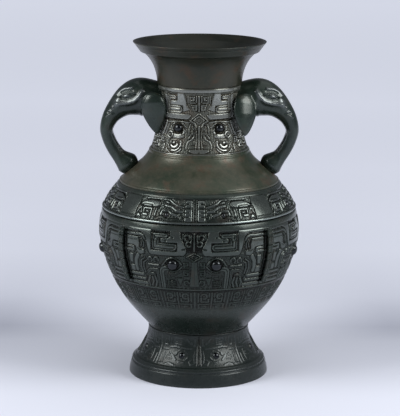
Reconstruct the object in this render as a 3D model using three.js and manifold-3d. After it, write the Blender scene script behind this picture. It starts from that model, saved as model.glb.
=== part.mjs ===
// Archaistic bronze zun with two elephant-head handles, cast in rings that are let into each other.
// Millimetres, +Z up. The foot stands on z = 0, the axis is x = y = 0 and the front is -Y.
import * as THREE from "three";
import { mergeVertices } from "three/addons/utils/BufferGeometryUtils.js";
import Module from "manifold-3d";

const wasm = await Module();
wasm.setup();

// Heights of the rings, from the ground up
const FOOT_HEIGHT = 58;
const BOWL_HEIGHT = 64.5;
const BELLY_HEIGHT = 80.5;
const BAND_HEIGHT = 31;
const SHOULDER_HEIGHT = 39;
const NECK_HEIGHT = 77;
const MOUTH_HEIGHT = 50;

// Outer radii at the joints and at the widest and narrowest places
const BASE_RADIUS = 83.5;
const WAIST_RADIUS = 60.2;
const BOWL_TOP_RADIUS = 105.4;
const BELLY_RADIUS = 119.6;
const BELLY_TOP_RADIUS = 115;
const BAND_TOP_RADIUS = 95.1;
const NECK_BASE_RADIUS = 58.8;
const NECK_RADIUS = 49.1;
const NECK_TOP_RADIUS = 49.9;
const LIP_RADIUS = 79.2;

// Lean of the outline at the joints and ends, in degrees from straight up
const FOOT_LEAN = -43;
const BOWL_LEAN = 42;
const BOWL_TOP_LEAN = 23.5;
const BELLY_TOP_LEAN = -14;
const BAND_TOP_LEAN = -42;
const SHOULDER_LEAN = -36;
const SHOULDER_TOP_LEAN = -25;
const NECK_LEAN = -28;
const NECK_TOP_LEAN = 3.5;
const THROAT_LEAN = 47;

// Walls, joints and mouldings
const WALL = 4.5;
const GAP = 0.3;
const LAND = 2.2;
const SPIGOT_LENGTH = 4;
const BEAD_RISE = 1.2;
const BEAD_WIDTH = 4;
const GROOVE_DEPTH = 0.8;
const GROOVE_WIDTH = 2;

// Mouth and lip
const LIP_FACE_HEIGHT = 11.2;
const LIP_FACE_FLARE = 8.4;
const LIP_OVERHANG = 6;
const LIP_TOP_WIDTH = 3.2;
const LIP_EDGE = 0.8;
const LIP_FLOOR_RISE = 2;

// Foot ring and base plate
const BASE_RING_HEIGHT = 15;
const BASE_RING_TAPER = 3;
const BASE_BEAD_WIDTH = 6.4;
const FOOT_STEP = 5;
const PLATE_THICKNESS = 3;
const PLATE_LEDGE_HEIGHT = 14;
const BASE_RING_WIDTH = 8.5;
const LEDGE_WIDTH = 4.5;

// Height of the frieze's lower line above the waist, and of the belly's widest place above the bowl
const FRIEZE_BOTTOM = 38;
const BELLY_WIDEST = 53.5;

// Ribs and eye bosses of the masks. Angles are in degrees from the front, towards +X, and heights
// are above the joint below.
const MASKS = 4;
const BELLY_TURN = -2.5;
const FLANGE_WIDTH = 6.5;
const FLANGE_RISE = 4;
const FLANGE_SEAT = 1.8;
const FLANGE_BOTTOM = 7.5;
const FLANGE_LENGTH = 63;
const BELLY_EYE = { angle: 12.9, height: 33, radius: 5.8, rise: 3.9 };
const NECK_TURN = -0.5;
const NECK_MASKS = 2;
const NECK_EYE = { angle: 27.5, height: 31.4, radius: 5, rise: 4 };
const FOOT_TURN = 1.1;
const FOOT_EYE = { angle: 18.4, height: 34.3, radius: 3.2, rise: 2.2 };
const FOOT_NOSE = { width: 2.4, rise: 1.4, bottom: 24.5, length: 26 };

// Elephant handles
const HANDLE_REACH = 68.8;
const HEAD_DEPTH = 24;
const HEAD_WIDTH = 24.5;
const TRUNK_RADIUS = 8.1;
const TRUNK_WIDTH = 9.2;
const CROWN_RISE = 6.3;
const TIP_RADIUS = 13;
const TIP_STANDOFF = 7.3;
const TIP_SEAT = 0.38;
const EAR_LENGTH = 49.5;
const EAR_WIDTH = 33;
const EAR_THICKNESS = 9;
const EAR_SPREAD = 29;
const EAR_DROP = 33.5;
const EAR_OUT = 5.5;
const EAR_TURN = 21.6;
const EAR_LEAN = 15;
const EAR_TAPER = 1;

// Pins that hold the handles
const PIN_RADIUS = 3;
const PIN_HEAD_RADIUS = 5.5;
const PIN_HEAD_HEIGHT = 2.4;
const PIN_GRIP = 12;
const TIP_PIN_GRIP = 9;
const UPPER_PIN_DROP = 17;
const LOWER_PIN_DROP = 37;

// Carving. The ground of a carved band is sunk, and the figures' main forms keep the ring's own
// face. A form is a list of corners: how far each is from the figure's axis, measured round the
// ring, and its height above the joint below. Every form has a mirrored twin.
const CARVING_DEPTH = 0.9;
const CARVING_SEAT = 1.3;
const CARVING_EDGE = 0.8;
const CARVING_ROW = 5;
const MASK_BAND = { bottom: 4, top: 72, reach: 117.5 };
const MASK_FORMS = {
  frame: [
    [20, 73],
    [29.5, 73],
    [29.5, 63.7],
    [39, 63.7],
    [39, 59.3],
    [19.2, 59.3],
    [17.6, 52.1],
    [11, 53.1],
  ],
  horn: [
    [20, 50.3],
    [49.8, 50.3],
    [49.8, 69.7],
    [31.5, 69.7],
    [31.5, 65],
    [41.8, 65],
    [41.8, 58.1],
    [20, 58.1],
  ],
  brow: [
    [9.4, 47.6],
    [20, 44.4],
    [51.6, 44.4],
    [57.2, 59.5],
    [62, 73],
    [51.4, 73],
    [51.4, 49.1],
  ],
  crest: [
    [67, 52.6],
    [96, 52.6],
    [96, 66.6],
    [66.6, 66.6],
    [60.2, 60],
    [59, 49.5],
    [62.2, 49.5],
    [67, 60],
  ],
  claw: [
    [61, 44],
    [69, 44],
    [78, 33],
    [76.6, 16],
    [69.6, 16],
    [71.6, 33],
  ],
  jaw: [
    [44, 4.4],
    [47.6, 4.4],
    [47.6, 22.4],
    [54.6, 22.4],
    [52.4, 10.6],
    [60.6, 4.4],
    [60.6, 26.2],
    [44, 26.2],
  ],
  nose: [
    [-0.5, 5.2],
    [6.4, 5.2],
    [2.8, 38],
    [9, 42.9],
    [-0.5, 48.6],
  ],
  chin: [
    [64, 5],
    [96, 5],
    [96, 12.6],
    [64, 12.6],
  ],
};
const DRAGON_BAND = { bottom: 3, top: 26.2, reach: 108.9 };
const DRAGON_FORMS = {
  scroll: [
    [5, 3.6],
    [11.4, 3.6],
    [11.4, 25.4],
    [5, 25.4],
  ],
  mane: [
    [15, 17],
    [32.6, 22],
    [40, 22],
    [40, 25.4],
    [31.6, 25.6],
    [15, 20.2],
  ],
  muzzle: [
    [14.6, 3.2],
    [43.6, 3.2],
    [37, 9.2],
    [14.6, 6.4],
  ],
  back: [
    [41.6, 20],
    [67, 20],
    [58, 25.4],
    [44.4, 25.4],
  ],
  body: [
    [50, 3.6],
    [63.6, 3.6],
    [63.6, 16.8],
    [50, 16.8],
  ],
  plume: [
    [72.6, 9.4],
    [82, 9.4],
    [82, 25],
    [72.6, 25],
  ],
};

// Fineness of the facets
const SIDES = 40;
const ROUND_SIDES = 10;

const FOOT_TOP = FOOT_HEIGHT;
const BOWL_TOP = FOOT_TOP + BOWL_HEIGHT;
const BELLY_TOP = BOWL_TOP + BELLY_HEIGHT;
const BAND_TOP = BELLY_TOP + BAND_HEIGHT;
const SHOULDER_TOP = BAND_TOP + SHOULDER_HEIGHT;
const NECK_TOP = SHOULDER_TOP + NECK_HEIGHT;
const MOUTH_TOP = NECK_TOP + MOUTH_HEIGHT;

// The base plate lies inside the base ring
const PLATE_RADIUS = BASE_RADIUS - BASE_RING_WIDTH - GAP;

const radians = THREE.MathUtils.degToRad;

const bronze = {
  plain: new THREE.MeshStandardMaterial({ color: 0x3a3a34, roughness: 0.42, metalness: 0.85 }),
  relief: new THREE.MeshStandardMaterial({ color: 0x44484a, roughness: 0.5, metalness: 0.85 }),
  handle: new THREE.MeshStandardMaterial({ color: 0x20262a, roughness: 0.3, metalness: 0.85 }),
  inner: new THREE.MeshStandardMaterial({ color: 0x34342f, roughness: 0.65, metalness: 0.7 }),
};

const zun = new THREE.Group();

// Solids and meshes

function solidOf(geometry) {
  const bare = geometry.clone();
  bare.deleteAttribute("normal");
  bare.deleteAttribute("uv");
  const merged = mergeVertices(bare, 1e-4);
  return new wasm.Manifold(
    new wasm.Mesh({
      numProp: 3,
      vertProperties: merged.attributes.position.array,
      triVerts: new Uint32Array(merged.index.array),
    }),
  );
}

function geometryOf(solid) {
  const made = solid.getMesh();
  const geometry = new THREE.BufferGeometry();
  geometry.setAttribute("position", new THREE.BufferAttribute(made.vertProperties, 3));
  geometry.setIndex(new THREE.BufferAttribute(made.triVerts, 1));
  geometry.computeVertexNormals();
  return geometry;
}

function place(name, geometry, material) {
  const mesh = new THREE.Mesh(geometry, material);
  mesh.name = name;
  zun.add(mesh);
  return mesh;
}

// Turns a closed outline of [radius, height] points about the Z axis.
function turned(outline, sides = SIDES) {
  const points = outline.map(([radius, height]) => new THREE.Vector2(radius, height));
  return new THREE.LatheGeometry(points, sides).rotateX(Math.PI / 2);
}

// Outlines of the rings

// A smooth stretch of outline. Leans are degrees from straight up, and pulls are shares of the
// distance between its ends.
function sweepOf(start, startLean, startPull, end, endLean, endPull, steps) {
  const from = new THREE.Vector2(...start);
  const to = new THREE.Vector2(...end);
  const span = from.distanceTo(to);
  const leave = new THREE.Vector2(Math.sin(radians(startLean)), Math.cos(radians(startLean)));
  const arrive = new THREE.Vector2(Math.sin(radians(endLean)), Math.cos(radians(endLean)));
  const curve = new THREE.CubicBezierCurve(
    from,
    from.clone().addScaledVector(leave, startPull * span),
    to.clone().addScaledVector(arrive, -endPull * span),
    to,
  );
  return curve.getPoints(steps).map((p) => [p.x, p.y]);
}

function radiusAt(outline, height) {
  const above = outline.findIndex((p) => p[1] >= height);
  if (above < 1) return outline[above < 0 ? outline.length - 1 : 0][0];
  const [r0, z0] = outline[above - 1];
  const [r1, z1] = outline[above];
  return r0 + ((r1 - r0) * (height - z0)) / (z1 - z0);
}

// Every second point of the stretch, moved inwards by the wall, square to the surface.
function inset(outline, wall) {
  const moved = outline.map((point, i) => {
    const before = outline[Math.max(i - 1, 0)];
    const after = outline[Math.min(i + 1, outline.length - 1)];
    const run = [after[0] - before[0], after[1] - before[1]];
    const length = Math.hypot(run[0], run[1]);
    return [point[0] - (wall * run[1]) / length, point[1] + (wall * run[0]) / length];
  });
  return moved.filter((point, i) => i % 2 === 0);
}

// Adds a raised bead or, with a negative rise, a sharp groove to an outline.
function moulding(outline, centre, width, rise) {
  const bottom = centre - width / 2;
  const top = centre + width / 2;
  const crests = rise > 0 ? [centre - width / 5, centre + width / 5] : [centre];
  const ring = [
    [radiusAt(outline, bottom), bottom],
    ...crests.map((height) => [radiusAt(outline, height) + rise, height]),
    [radiusAt(outline, top), top],
  ];
  const below = outline.filter((p) => p[1] < bottom - 0.05);
  const over = outline.filter((p) => p[1] > top + 0.05);
  return [...below, ...ring, ...over];
}

// Half of a sharp groove that hides a joint: way is 1 at a ring's upper end and -1 at its lower.
function halfGroove(outline, joint, way) {
  const edge = joint - (way * GROOVE_WIDTH) / 2;
  const kept = outline.filter((p) => way * (edge - p[1]) > 0.05);
  const half = [
    [radiusAt(outline, edge), edge],
    [radiusAt(outline, joint) - GROOVE_DEPTH, joint],
  ];
  return way > 0 ? [...kept, ...half] : [...half.reverse(), ...kept];
}

// The end of a ring's wall at a joint, from the outer face inwards. A spigot runs past the joint's
// plane the way that way gives, and a bore takes the other ring's spigot.
function spigotEnd(height, radius, way) {
  const outer = radius - LAND - GAP;
  const inner = radius - WALL - GAP;
  const tip = height + way * SPIGOT_LENGTH;
  return [
    [outer, height],
    [outer, tip],
    [inner, tip],
    [inner, height],
  ];
}

function boreEnd(height, radius, way) {
  const floor = height - way * (SPIGOT_LENGTH + GAP);
  return [
    [radius - LAND, height],
    [radius - LAND, floor],
  ];
}

// A ring's closed outline: its lower end, its outer face, its upper end and its lining.
function ringOutline(lowerEnd, outer, upperEnd, inner) {
  const low = lowerEnd.length ? lowerEnd[lowerEnd.length - 1][1] : 0;
  const high = upperEnd.length ? upperEnd[upperEnd.length - 1][1] : Infinity;
  const lining = inner.filter((p) => p[1] > low + GAP && p[1] < high - GAP);
  const outline = [...lowerEnd.slice().reverse(), ...outer, ...upperEnd, ...lining.reverse()];
  return [...outline, outline[0]];
}

const baseRingTop = BASE_RADIUS - BASE_RING_TAPER;
const footStart = [baseRingTop - FOOT_STEP, BASE_RING_HEIGHT + BASE_BEAD_WIDTH];
const footEnd = [WAIST_RADIUS, FOOT_TOP];
const footCurve = sweepOf(footStart, FOOT_LEAN, 0.303, footEnd, 0, 0.353, 6);
const footOuter = [
  [BASE_RADIUS, 0],
  [BASE_RADIUS - BASE_RING_TAPER * 0.4, BASE_RING_HEIGHT * 0.45],
  [baseRingTop, BASE_RING_HEIGHT],
  [baseRingTop - GROOVE_DEPTH * 2, BASE_RING_HEIGHT + BASE_BEAD_WIDTH * 0.1],
  [baseRingTop - GROOVE_DEPTH, BASE_RING_HEIGHT + BASE_BEAD_WIDTH * 0.35],
  [baseRingTop - GROOVE_DEPTH * 3, BASE_RING_HEIGHT + BASE_BEAD_WIDTH * 0.7],
  ...footCurve,
];

const bowlStart = [WAIST_RADIUS + GROOVE_DEPTH, FOOT_TOP + GROOVE_WIDTH * 1.5];
const bowlEnd = [BOWL_TOP_RADIUS, BOWL_TOP];
const bowlCurve = sweepOf(bowlStart, BOWL_LEAN, 0.37, bowlEnd, BOWL_TOP_LEAN, 0.37, 6);
const bowlProfile = [footEnd, ...bowlCurve];
const friezeLine = moulding(bowlProfile, FOOT_TOP + FRIEZE_BOTTOM, GROOVE_WIDTH, -GROOVE_DEPTH);
const bowlOuter = halfGroove(friezeLine, BOWL_TOP, 1);

const bellyWidest = [BELLY_RADIUS, BOWL_TOP + BELLY_WIDEST];
const bellyEnd = [BELLY_TOP_RADIUS, BELLY_TOP];
const bellyCurve = [
  ...sweepOf(bowlEnd, BOWL_TOP_LEAN, 0.253, bellyWidest, 0, 0.325, 3),
  ...sweepOf(bellyWidest, 0, 0.439, bellyEnd, BELLY_TOP_LEAN, 0.293, 2).slice(1),
];
const bellyOuter = halfGroove(bellyCurve, BOWL_TOP, -1);

const bandEnd = [BAND_TOP_RADIUS, BAND_TOP];
const bandCurve = sweepOf(bellyEnd, BELLY_TOP_LEAN, 0.326, bandEnd, BAND_TOP_LEAN, 0.326, 3);
const bandOuter = moulding(bandCurve, BELLY_TOP + BEAD_WIDTH / 2, BEAD_WIDTH, BEAD_RISE);

const shoulderEnd = [NECK_BASE_RADIUS, SHOULDER_TOP];
const shoulderCurve = sweepOf(
  bandEnd,
  SHOULDER_LEAN,
  0.525,
  shoulderEnd,
  SHOULDER_TOP_LEAN,
  0.431,
  8,
);
const shoulderOuter = moulding(shoulderCurve, BAND_TOP + BEAD_WIDTH / 2, BEAD_WIDTH, BEAD_RISE);

const narrowest = [NECK_RADIUS, SHOULDER_TOP + NECK_HEIGHT * 0.77];
const neckEnd = [NECK_TOP_RADIUS, NECK_TOP];
const neckCurve = [
  ...sweepOf(shoulderEnd, NECK_LEAN, 0.183, narrowest, 0, 0.366, 6),
  ...sweepOf(narrowest, 0, 0.339, neckEnd, NECK_TOP_LEAN, 0.339, 2).slice(1),
];
const neckOuter = moulding(
  neckCurve,
  SHOULDER_TOP + BEAD_WIDTH / 2,
  BEAD_WIDTH,
  BEAD_RISE / 2,
);

const lipBottom = MOUTH_TOP - LIP_FACE_HEIGHT;
const lipBottomRadius = LIP_RADIUS - LIP_FACE_FLARE;
const throatTop = [lipBottomRadius - LIP_OVERHANG, lipBottom - LIP_OVERHANG / 2];
const mouthCurve = sweepOf(neckEnd, NECK_TOP_LEAN, 0.437, throatTop, THROAT_LEAN, 0.309, 7);
const mouthOuter = [
  ...mouthCurve,
  [lipBottomRadius, lipBottom],
  [LIP_RADIUS, MOUTH_TOP - LIP_EDGE],
  [LIP_RADIUS - LIP_EDGE / 2, MOUTH_TOP],
];
const mouthInner = [
  ...inset(mouthCurve, WALL).slice(0, -1),
  [lipBottomRadius - LIP_OVERHANG / 2, lipBottom + LIP_FLOOR_RISE],
  [LIP_RADIUS - LIP_TOP_WIDTH, MOUTH_TOP],
];

// The filled outline of the whole vessel, grown by the gap: what seats on the vessel is cut by it.
function vesselCutter() {
  const belly = [...bowlOuter, ...bellyOuter, ...bandOuter];
  const outer = [...belly, ...shoulderOuter, ...neckOuter, ...mouthCurve];
  const grown = outer.map(([radius, height]) => [radius + GAP, height]);
  return turned([[0, FOOT_TOP], ...grown, [0, throatTop[1]]]);
}

// Shared shapes

// A flat-bottomed button of revolution that stands on a wall, sunk half into it.
function boss(turn, radius, rise, centreRadius, height) {
  const ball = new THREE.SphereGeometry(1, 8, 6);
  ball.scale(radius, rise, radius);
  ball.translate(0, -centreRadius, height);
  return solidOf(ball.rotateZ(radians(turn)));
}

function withBosses(body, outline, bottom, eye, turn, count) {
  let result = body;
  const height = bottom + eye.height;
  const reach = radiusAt(outline, height);
  for (let mask = 0; mask < count; mask += 1)
    for (const side of [-1, 1]) {
      const angle = turn + (mask * 360) / count + side * eye.angle;
      result = result.add(boss(angle, eye.radius, eye.rise, reach, height));
    }
  return result;
}

// An outline whose stretch between two heights is sunk, with a low step at each end.
function sunk(outline, bottom, top) {
  const low = outline.filter((p) => p[1] < bottom - CARVING_EDGE);
  const high = outline.filter((p) => p[1] > top + CARVING_EDGE);
  const edges = [bottom + CARVING_EDGE, top - CARVING_EDGE];
  const between = outline.filter(
    (p) => p[1] > edges[0] + CARVING_ROW && p[1] < edges[1] - CARVING_ROW,
  );
  const floor = [
    [radiusAt(outline, edges[0]), edges[0]],
    ...between,
    [radiusAt(outline, edges[1]), edges[1]],
  ];
  return [
    ...low,
    [radiusAt(outline, bottom), bottom],
    ...floor.map(([radius, height]) => [radius - CARVING_DEPTH, height]),
    [radiusAt(outline, top), top],
    ...high,
  ];
}

// A form's corners as [angle, height], with one more wherever an edge crosses a facet's side.
function facetedCorners(form, side, reach, turn) {
  const facet = (Math.PI * 2) / SIDES;
  const corners = [];
  form.forEach(([across, height], i) => {
    const [nextAcross, nextHeight] = form[(i + 1) % form.length];
    const from = turn + (side * across) / reach;
    const to = turn + (side * nextAcross) / reach;
    corners.push([from, height]);
    const cuts = [];
    const high = Math.max(from, to);
    for (let k = Math.floor(Math.min(from, to) / facet) + 1; k * facet < high; k += 1)
      cuts.push(k * facet);
    if (to < from) cuts.reverse();
    cuts.forEach((cut) => {
      corners.push([cut, height + ((nextHeight - height) * (cut - from)) / (to - from)]);
    });
  });
  const turnsBack = THREE.ShapeUtils.isClockWise(corners.map((c) => new THREE.Vector2(...c)));
  return turnsBack ? corners.reverse() : corners;
}

// The raised forms of a carved band: what a ring's own face keeps of them.
function raisedForms(forms, outline, joint, band, turn) {
  const bottom = joint + band.bottom;
  const top = joint + band.top;
  const margin = CARVING_EDGE + CARVING_ROW;
  const face = outline.filter((p) => p[1] > bottom + margin && p[1] < top - margin);
  const ends = [bottom, top].map((z) => [radiusAt(outline, z), z]);
  const whole = solidOf(turned([[0, ends[0][1]], ends[0], ...face, ends[1], [0, ends[1][1]]]));
  const blocks = [];
  for (const form of Object.values(forms))
    for (const side of [-1, 1]) {
      const corners = facetedCorners(form, side, band.reach, radians(turn));
      const flat = corners.map(([angle, height]) => [angle * band.reach, joint + height]);
      const block = wasm.Manifold.extrude([flat], 1);
      blocks.push(
        block.warp((point) => {
          const angle = point[0] / band.reach;
          const height = point[1];
          const out = point[2] > 0.5 ? CARVING_SEAT * 2 : -CARVING_DEPTH - CARVING_SEAT;
          const radius = radiusAt(outline, height) + out;
          point[0] = radius * Math.sin(angle);
          point[1] = -radius * Math.cos(angle);
          point[2] = height;
        }),
      );
    }
  return wasm.Manifold.union(blocks).intersect(whole);
}

function carved(body, raised) {
  let result = body;
  for (let mask = 0; mask < MASKS; mask += 1)
    result = result.add(raised.rotate([0, 0, (mask * 360) / MASKS]));
  return result;
}

// A strip that stands on the outline between two heights, as a plate in the front XZ plane.
function strip(outline, bottom, length, sink, rise, width) {
  const steps = 6;
  const heights = Array.from({ length: steps + 1 }, (_, i) => bottom + (length * i) / steps);
  const back = heights.map((z) => new THREE.Vector2(radiusAt(outline, z) - sink, z));
  const face = heights.map((z, i) => {
    const taper = i === 0 || i === steps ? 0.5 : 1;
    return new THREE.Vector2(radiusAt(outline, z) + rise * taper, z);
  });
  const shape = new THREE.Shape([...back, ...face.reverse()]);
  const plate = new THREE.ExtrudeGeometry(shape, { depth: width, bevelEnabled: false });
  plate.translate(0, 0, -width / 2);
  plate.rotateX(Math.PI / 2);
  return plate.rotateZ(-Math.PI / 2);
}

// A closed tube of oval sections along a path in the XZ plane. Each station has its middle
// [x, z], its half width in the plane and its half width along Y. The far end is rounded.
function ovalTube(stations, steps, sides) {
  const middle = new THREE.CatmullRomCurve3(
    stations.map((s) => new THREE.Vector3(s.x, 0, s.z)),
    false,
    "centripetal",
  );
  const widths = new THREE.CatmullRomCurve3(
    stations.map((s) => new THREE.Vector3(s.deep, s.wide, 0)),
    false,
    "centripetal",
  );
  const rings = [];
  for (let i = 0; i <= steps; i += 1) {
    const t = i / steps;
    const centre = middle.getPoint(t);
    const along = middle.getTangent(t);
    const size = widths.getPoint(t);
    rings.push({ centre, along, deep: size.x, wide: size.y });
  }
  const last = rings[rings.length - 1];
  for (const turn of [30, 60]) {
    const shrink = Math.cos(radians(turn));
    const centre = last.centre.clone();
    centre.addScaledVector(last.along, last.deep * Math.sin(radians(turn)));
    const { along } = last;
    rings.push({ centre, along, deep: last.deep * shrink, wide: last.wide * shrink });
  }
  const positions = [];
  for (const ring of rings) {
    const across = new THREE.Vector3(-ring.along.z, 0, ring.along.x);
    for (let k = 0; k < sides; k += 1) {
      const angle = (2 * Math.PI * k) / sides;
      const point = ring.centre.clone().addScaledVector(across, ring.deep * Math.cos(angle));
      point.y += ring.wide * Math.sin(angle);
      positions.push(point.x, point.y, point.z);
    }
  }
  const start = positions.length / 3;
  const tip = last.centre.clone().addScaledVector(last.along, last.deep);
  positions.push(rings[0].centre.x, 0, rings[0].centre.z, tip.x, tip.y, tip.z);
  const faces = [];
  for (let k = 0; k < sides; k += 1) {
    const next = (k + 1) % sides;
    faces.push(start, k, next);
    for (let i = 0; i + 1 < rings.length; i += 1) {
      const [a, b] = [i * sides + k, i * sides + next];
      faces.push(a, b + sides, b, a, a + sides, b + sides);
    }
    const end = (rings.length - 1) * sides;
    faces.push(start + 1, end + next, end + k);
  }
  const geometry = new THREE.BufferGeometry();
  geometry.setAttribute("position", new THREE.Float32BufferAttribute(positions, 3));
  geometry.setIndex(faces);
  return geometry;
}

// Vessel rings

function makeFoot() {
  const ledge = PLATE_RADIUS + GAP - LEDGE_WIDTH;
  const lining = inset(footCurve, WALL).filter((p) => p[0] < ledge);
  const underside = [
    [PLATE_RADIUS + GAP, 0],
    [PLATE_RADIUS + GAP, PLATE_LEDGE_HEIGHT],
    [ledge, PLATE_LEDGE_HEIGHT],
    [ledge, BASE_RING_HEIGHT + BASE_BEAD_WIDTH],
  ];
  const seat = boreEnd(FOOT_TOP, WAIST_RADIUS, 1);
  const inner = lining.filter((p) => p[1] < seat[1][1] - GAP).reverse();
  const outline = [...footOuter, ...seat, ...inner, ...underside.reverse(), footOuter[0]];
  let body = solidOf(turned(outline));
  body = withBosses(body, footOuter, 0, FOOT_EYE, FOOT_TURN, MASKS);
  for (let mask = 0; mask < MASKS; mask += 1) {
    const nose = strip(
      footOuter,
      FOOT_NOSE.bottom,
      FOOT_NOSE.length,
      1,
      FOOT_NOSE.rise,
      FOOT_NOSE.width,
    );
    body = body.add(solidOf(nose.rotateZ(radians(FOOT_TURN + (mask * 360) / MASKS))));
  }
  place("foot", geometryOf(body), bronze.relief);
}

function makeBasePlate() {
  const top = PLATE_LEDGE_HEIGHT;
  const outline = [
    [0, top - PLATE_THICKNESS],
    [PLATE_RADIUS, top - PLATE_THICKNESS],
    [PLATE_RADIUS, top],
    [0, top],
  ];
  place("base_plate", turned(outline), bronze.inner);
}

function makeBowl() {
  const outline = ringOutline(
    spigotEnd(FOOT_TOP, WAIST_RADIUS, -1),
    bowlOuter,
    spigotEnd(BOWL_TOP, BOWL_TOP_RADIUS, 1),
    inset(bowlCurve, WALL),
  );
  place("lower_belly", turned(outline), bronze.relief);
}

function makeBelly() {
  const ground = sunk(bellyOuter, BOWL_TOP + MASK_BAND.bottom, BOWL_TOP + MASK_BAND.top);
  const outline = ringOutline(
    boreEnd(BOWL_TOP, BOWL_TOP_RADIUS, -1),
    ground,
    boreEnd(BELLY_TOP, BELLY_TOP_RADIUS, 1),
    inset(bellyCurve, WALL),
  );
  const forms = raisedForms(MASK_FORMS, bellyOuter, BOWL_TOP, MASK_BAND, BELLY_TURN);
  let body = carved(solidOf(turned(outline)), forms);
  body = withBosses(body, bellyOuter, BOWL_TOP, BELLY_EYE, BELLY_TURN, MASKS);
  const bottom = BOWL_TOP + FLANGE_BOTTOM;
  for (let mask = 0; mask < MASKS; mask += 1) {
    const turn = radians(BELLY_TURN + ((mask + 0.5) * 360) / MASKS);
    const slot = strip(
      bellyCurve,
      bottom - GAP,
      FLANGE_LENGTH + 2 * GAP,
      FLANGE_SEAT + GAP,
      FLANGE_RISE * 2,
      FLANGE_WIDTH + 2 * GAP,
    );
    body = body.subtract(solidOf(slot.rotateZ(turn)));
    const rib = strip(
      bellyCurve,
      bottom,
      FLANGE_LENGTH,
      FLANGE_SEAT,
      FLANGE_RISE,
      FLANGE_WIDTH,
    );
    const mesh = place(`flange_${mask + 1}`, rib, bronze.relief);
    mesh.rotation.z = turn;
  }
  place("belly", geometryOf(body), bronze.relief);
}

function makeShoulderBand() {
  const outline = ringOutline(
    spigotEnd(BELLY_TOP, BELLY_TOP_RADIUS, -1),
    sunk(bandOuter, BELLY_TOP + DRAGON_BAND.bottom, BELLY_TOP + DRAGON_BAND.top),
    boreEnd(BAND_TOP, BAND_TOP_RADIUS, 1),
    inset(bandCurve, WALL),
  );
  const forms = raisedForms(DRAGON_FORMS, bandOuter, BELLY_TOP, DRAGON_BAND, BELLY_TURN);
  const body = carved(solidOf(turned(outline)), forms);
  place("shoulder_band", geometryOf(body), bronze.relief);
}

function makeShoulder(pinHoles) {
  const outline = ringOutline(
    spigotEnd(BAND_TOP, BAND_TOP_RADIUS, -1),
    shoulderOuter,
    boreEnd(SHOULDER_TOP, NECK_BASE_RADIUS, 1),
    inset(shoulderCurve, WALL),
  );
  let body = solidOf(turned(outline));
  for (const hole of pinHoles) body = body.subtract(hole);
  place("shoulder", geometryOf(body), bronze.plain);
}

function makeNeck(pinHoles) {
  const outline = ringOutline(
    spigotEnd(SHOULDER_TOP, NECK_BASE_RADIUS, -1),
    neckOuter,
    boreEnd(NECK_TOP, NECK_TOP_RADIUS, 1),
    inset(neckCurve, WALL),
  );
  let body = solidOf(turned(outline));
  body = withBosses(body, neckOuter, SHOULDER_TOP, NECK_EYE, NECK_TURN, NECK_MASKS);
  for (const hole of pinHoles) body = body.subtract(hole);
  place("neck", geometryOf(body), bronze.relief);
}

function makeMouthRim() {
  const outline = ringOutline(
    spigotEnd(NECK_TOP, NECK_TOP_RADIUS, -1),
    mouthOuter,
    [],
    mouthInner,
  );
  place("mouth_rim", turned(outline), bronze.plain);
}

// Handles

// Where the trunk's tip seats on the shoulder, and the way the shoulder faces there.
function tipSeat() {
  const height = BAND_TOP + SHOULDER_HEIGHT * TIP_SEAT;
  const reach = radiusAt(shoulderCurve, height);
  const slope = radiusAt(shoulderCurve, height + 1) - radiusAt(shoulderCurve, height - 1);
  const facing = new THREE.Vector3(2, 0, -slope).normalize();
  return { point: new THREE.Vector3(reach, 0, height), facing };
}

// Stations of the head and trunk. Head places are shares of the way from the neck's side to the
// bow of the trunk, and trunk places are shares of the way from the tip to the bow.
function handleStations() {
  const seat = tipSeat();
  const tip = seat.point.clone().addScaledVector(seat.facing, TIP_STANDOFF);
  const crown = NECK_TOP + CROWN_RISE;
  const bow = NECK_RADIUS + HANDLE_REACH - TRUNK_RADIUS;
  const head = [
    { share: -0.15, rise: 0.66, deep: HEAD_DEPTH, wide: HEAD_WIDTH * 0.98 },
    { share: 0.178, rise: 0.737, deep: HEAD_DEPTH * 0.938, wide: HEAD_WIDTH },
    { share: 0.374, rise: 0.775, deep: HEAD_DEPTH * 0.938, wide: HEAD_WIDTH * 0.939 },
    { share: 0.561, rise: 0.739, deep: HEAD_DEPTH * 0.771, wide: HEAD_WIDTH * 0.816 },
    { share: 0.749, rise: 0.652, deep: HEAD_DEPTH * 0.563, wide: HEAD_WIDTH * 0.653 },
    { share: 0.931, rise: 0.53, deep: HEAD_DEPTH * 0.408, wide: HEAD_WIDTH * 0.49 },
  ];
  const trunk = [
    { share: 1, rise: 0.394, deep: TRUNK_RADIUS, wide: TRUNK_WIDTH * 1.087 },
    { share: 0.86, rise: 0.27, deep: TRUNK_RADIUS, wide: TRUNK_WIDTH },
    { share: 0.63, rise: 0.167, deep: TRUNK_RADIUS * 1.037, wide: TRUNK_WIDTH },
    { share: 0.35, rise: 0.079, deep: TRUNK_RADIUS * 1.247, wide: TRUNK_WIDTH * 1.087 },
    { share: 0, rise: 0, deep: TIP_RADIUS, wide: TIP_RADIUS * 0.96 },
  ];
  const placed = (station, from) => ({
    x: from + (bow - from) * station.share,
    z: tip.z + (crown - tip.z) * station.rise,
    deep: station.deep,
    wide: station.wide,
  });
  return [
    ...head.map((station) => placed(station, NECK_RADIUS)),
    ...trunk.map((station) => placed(station, tip.x)),
  ];
}

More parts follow.
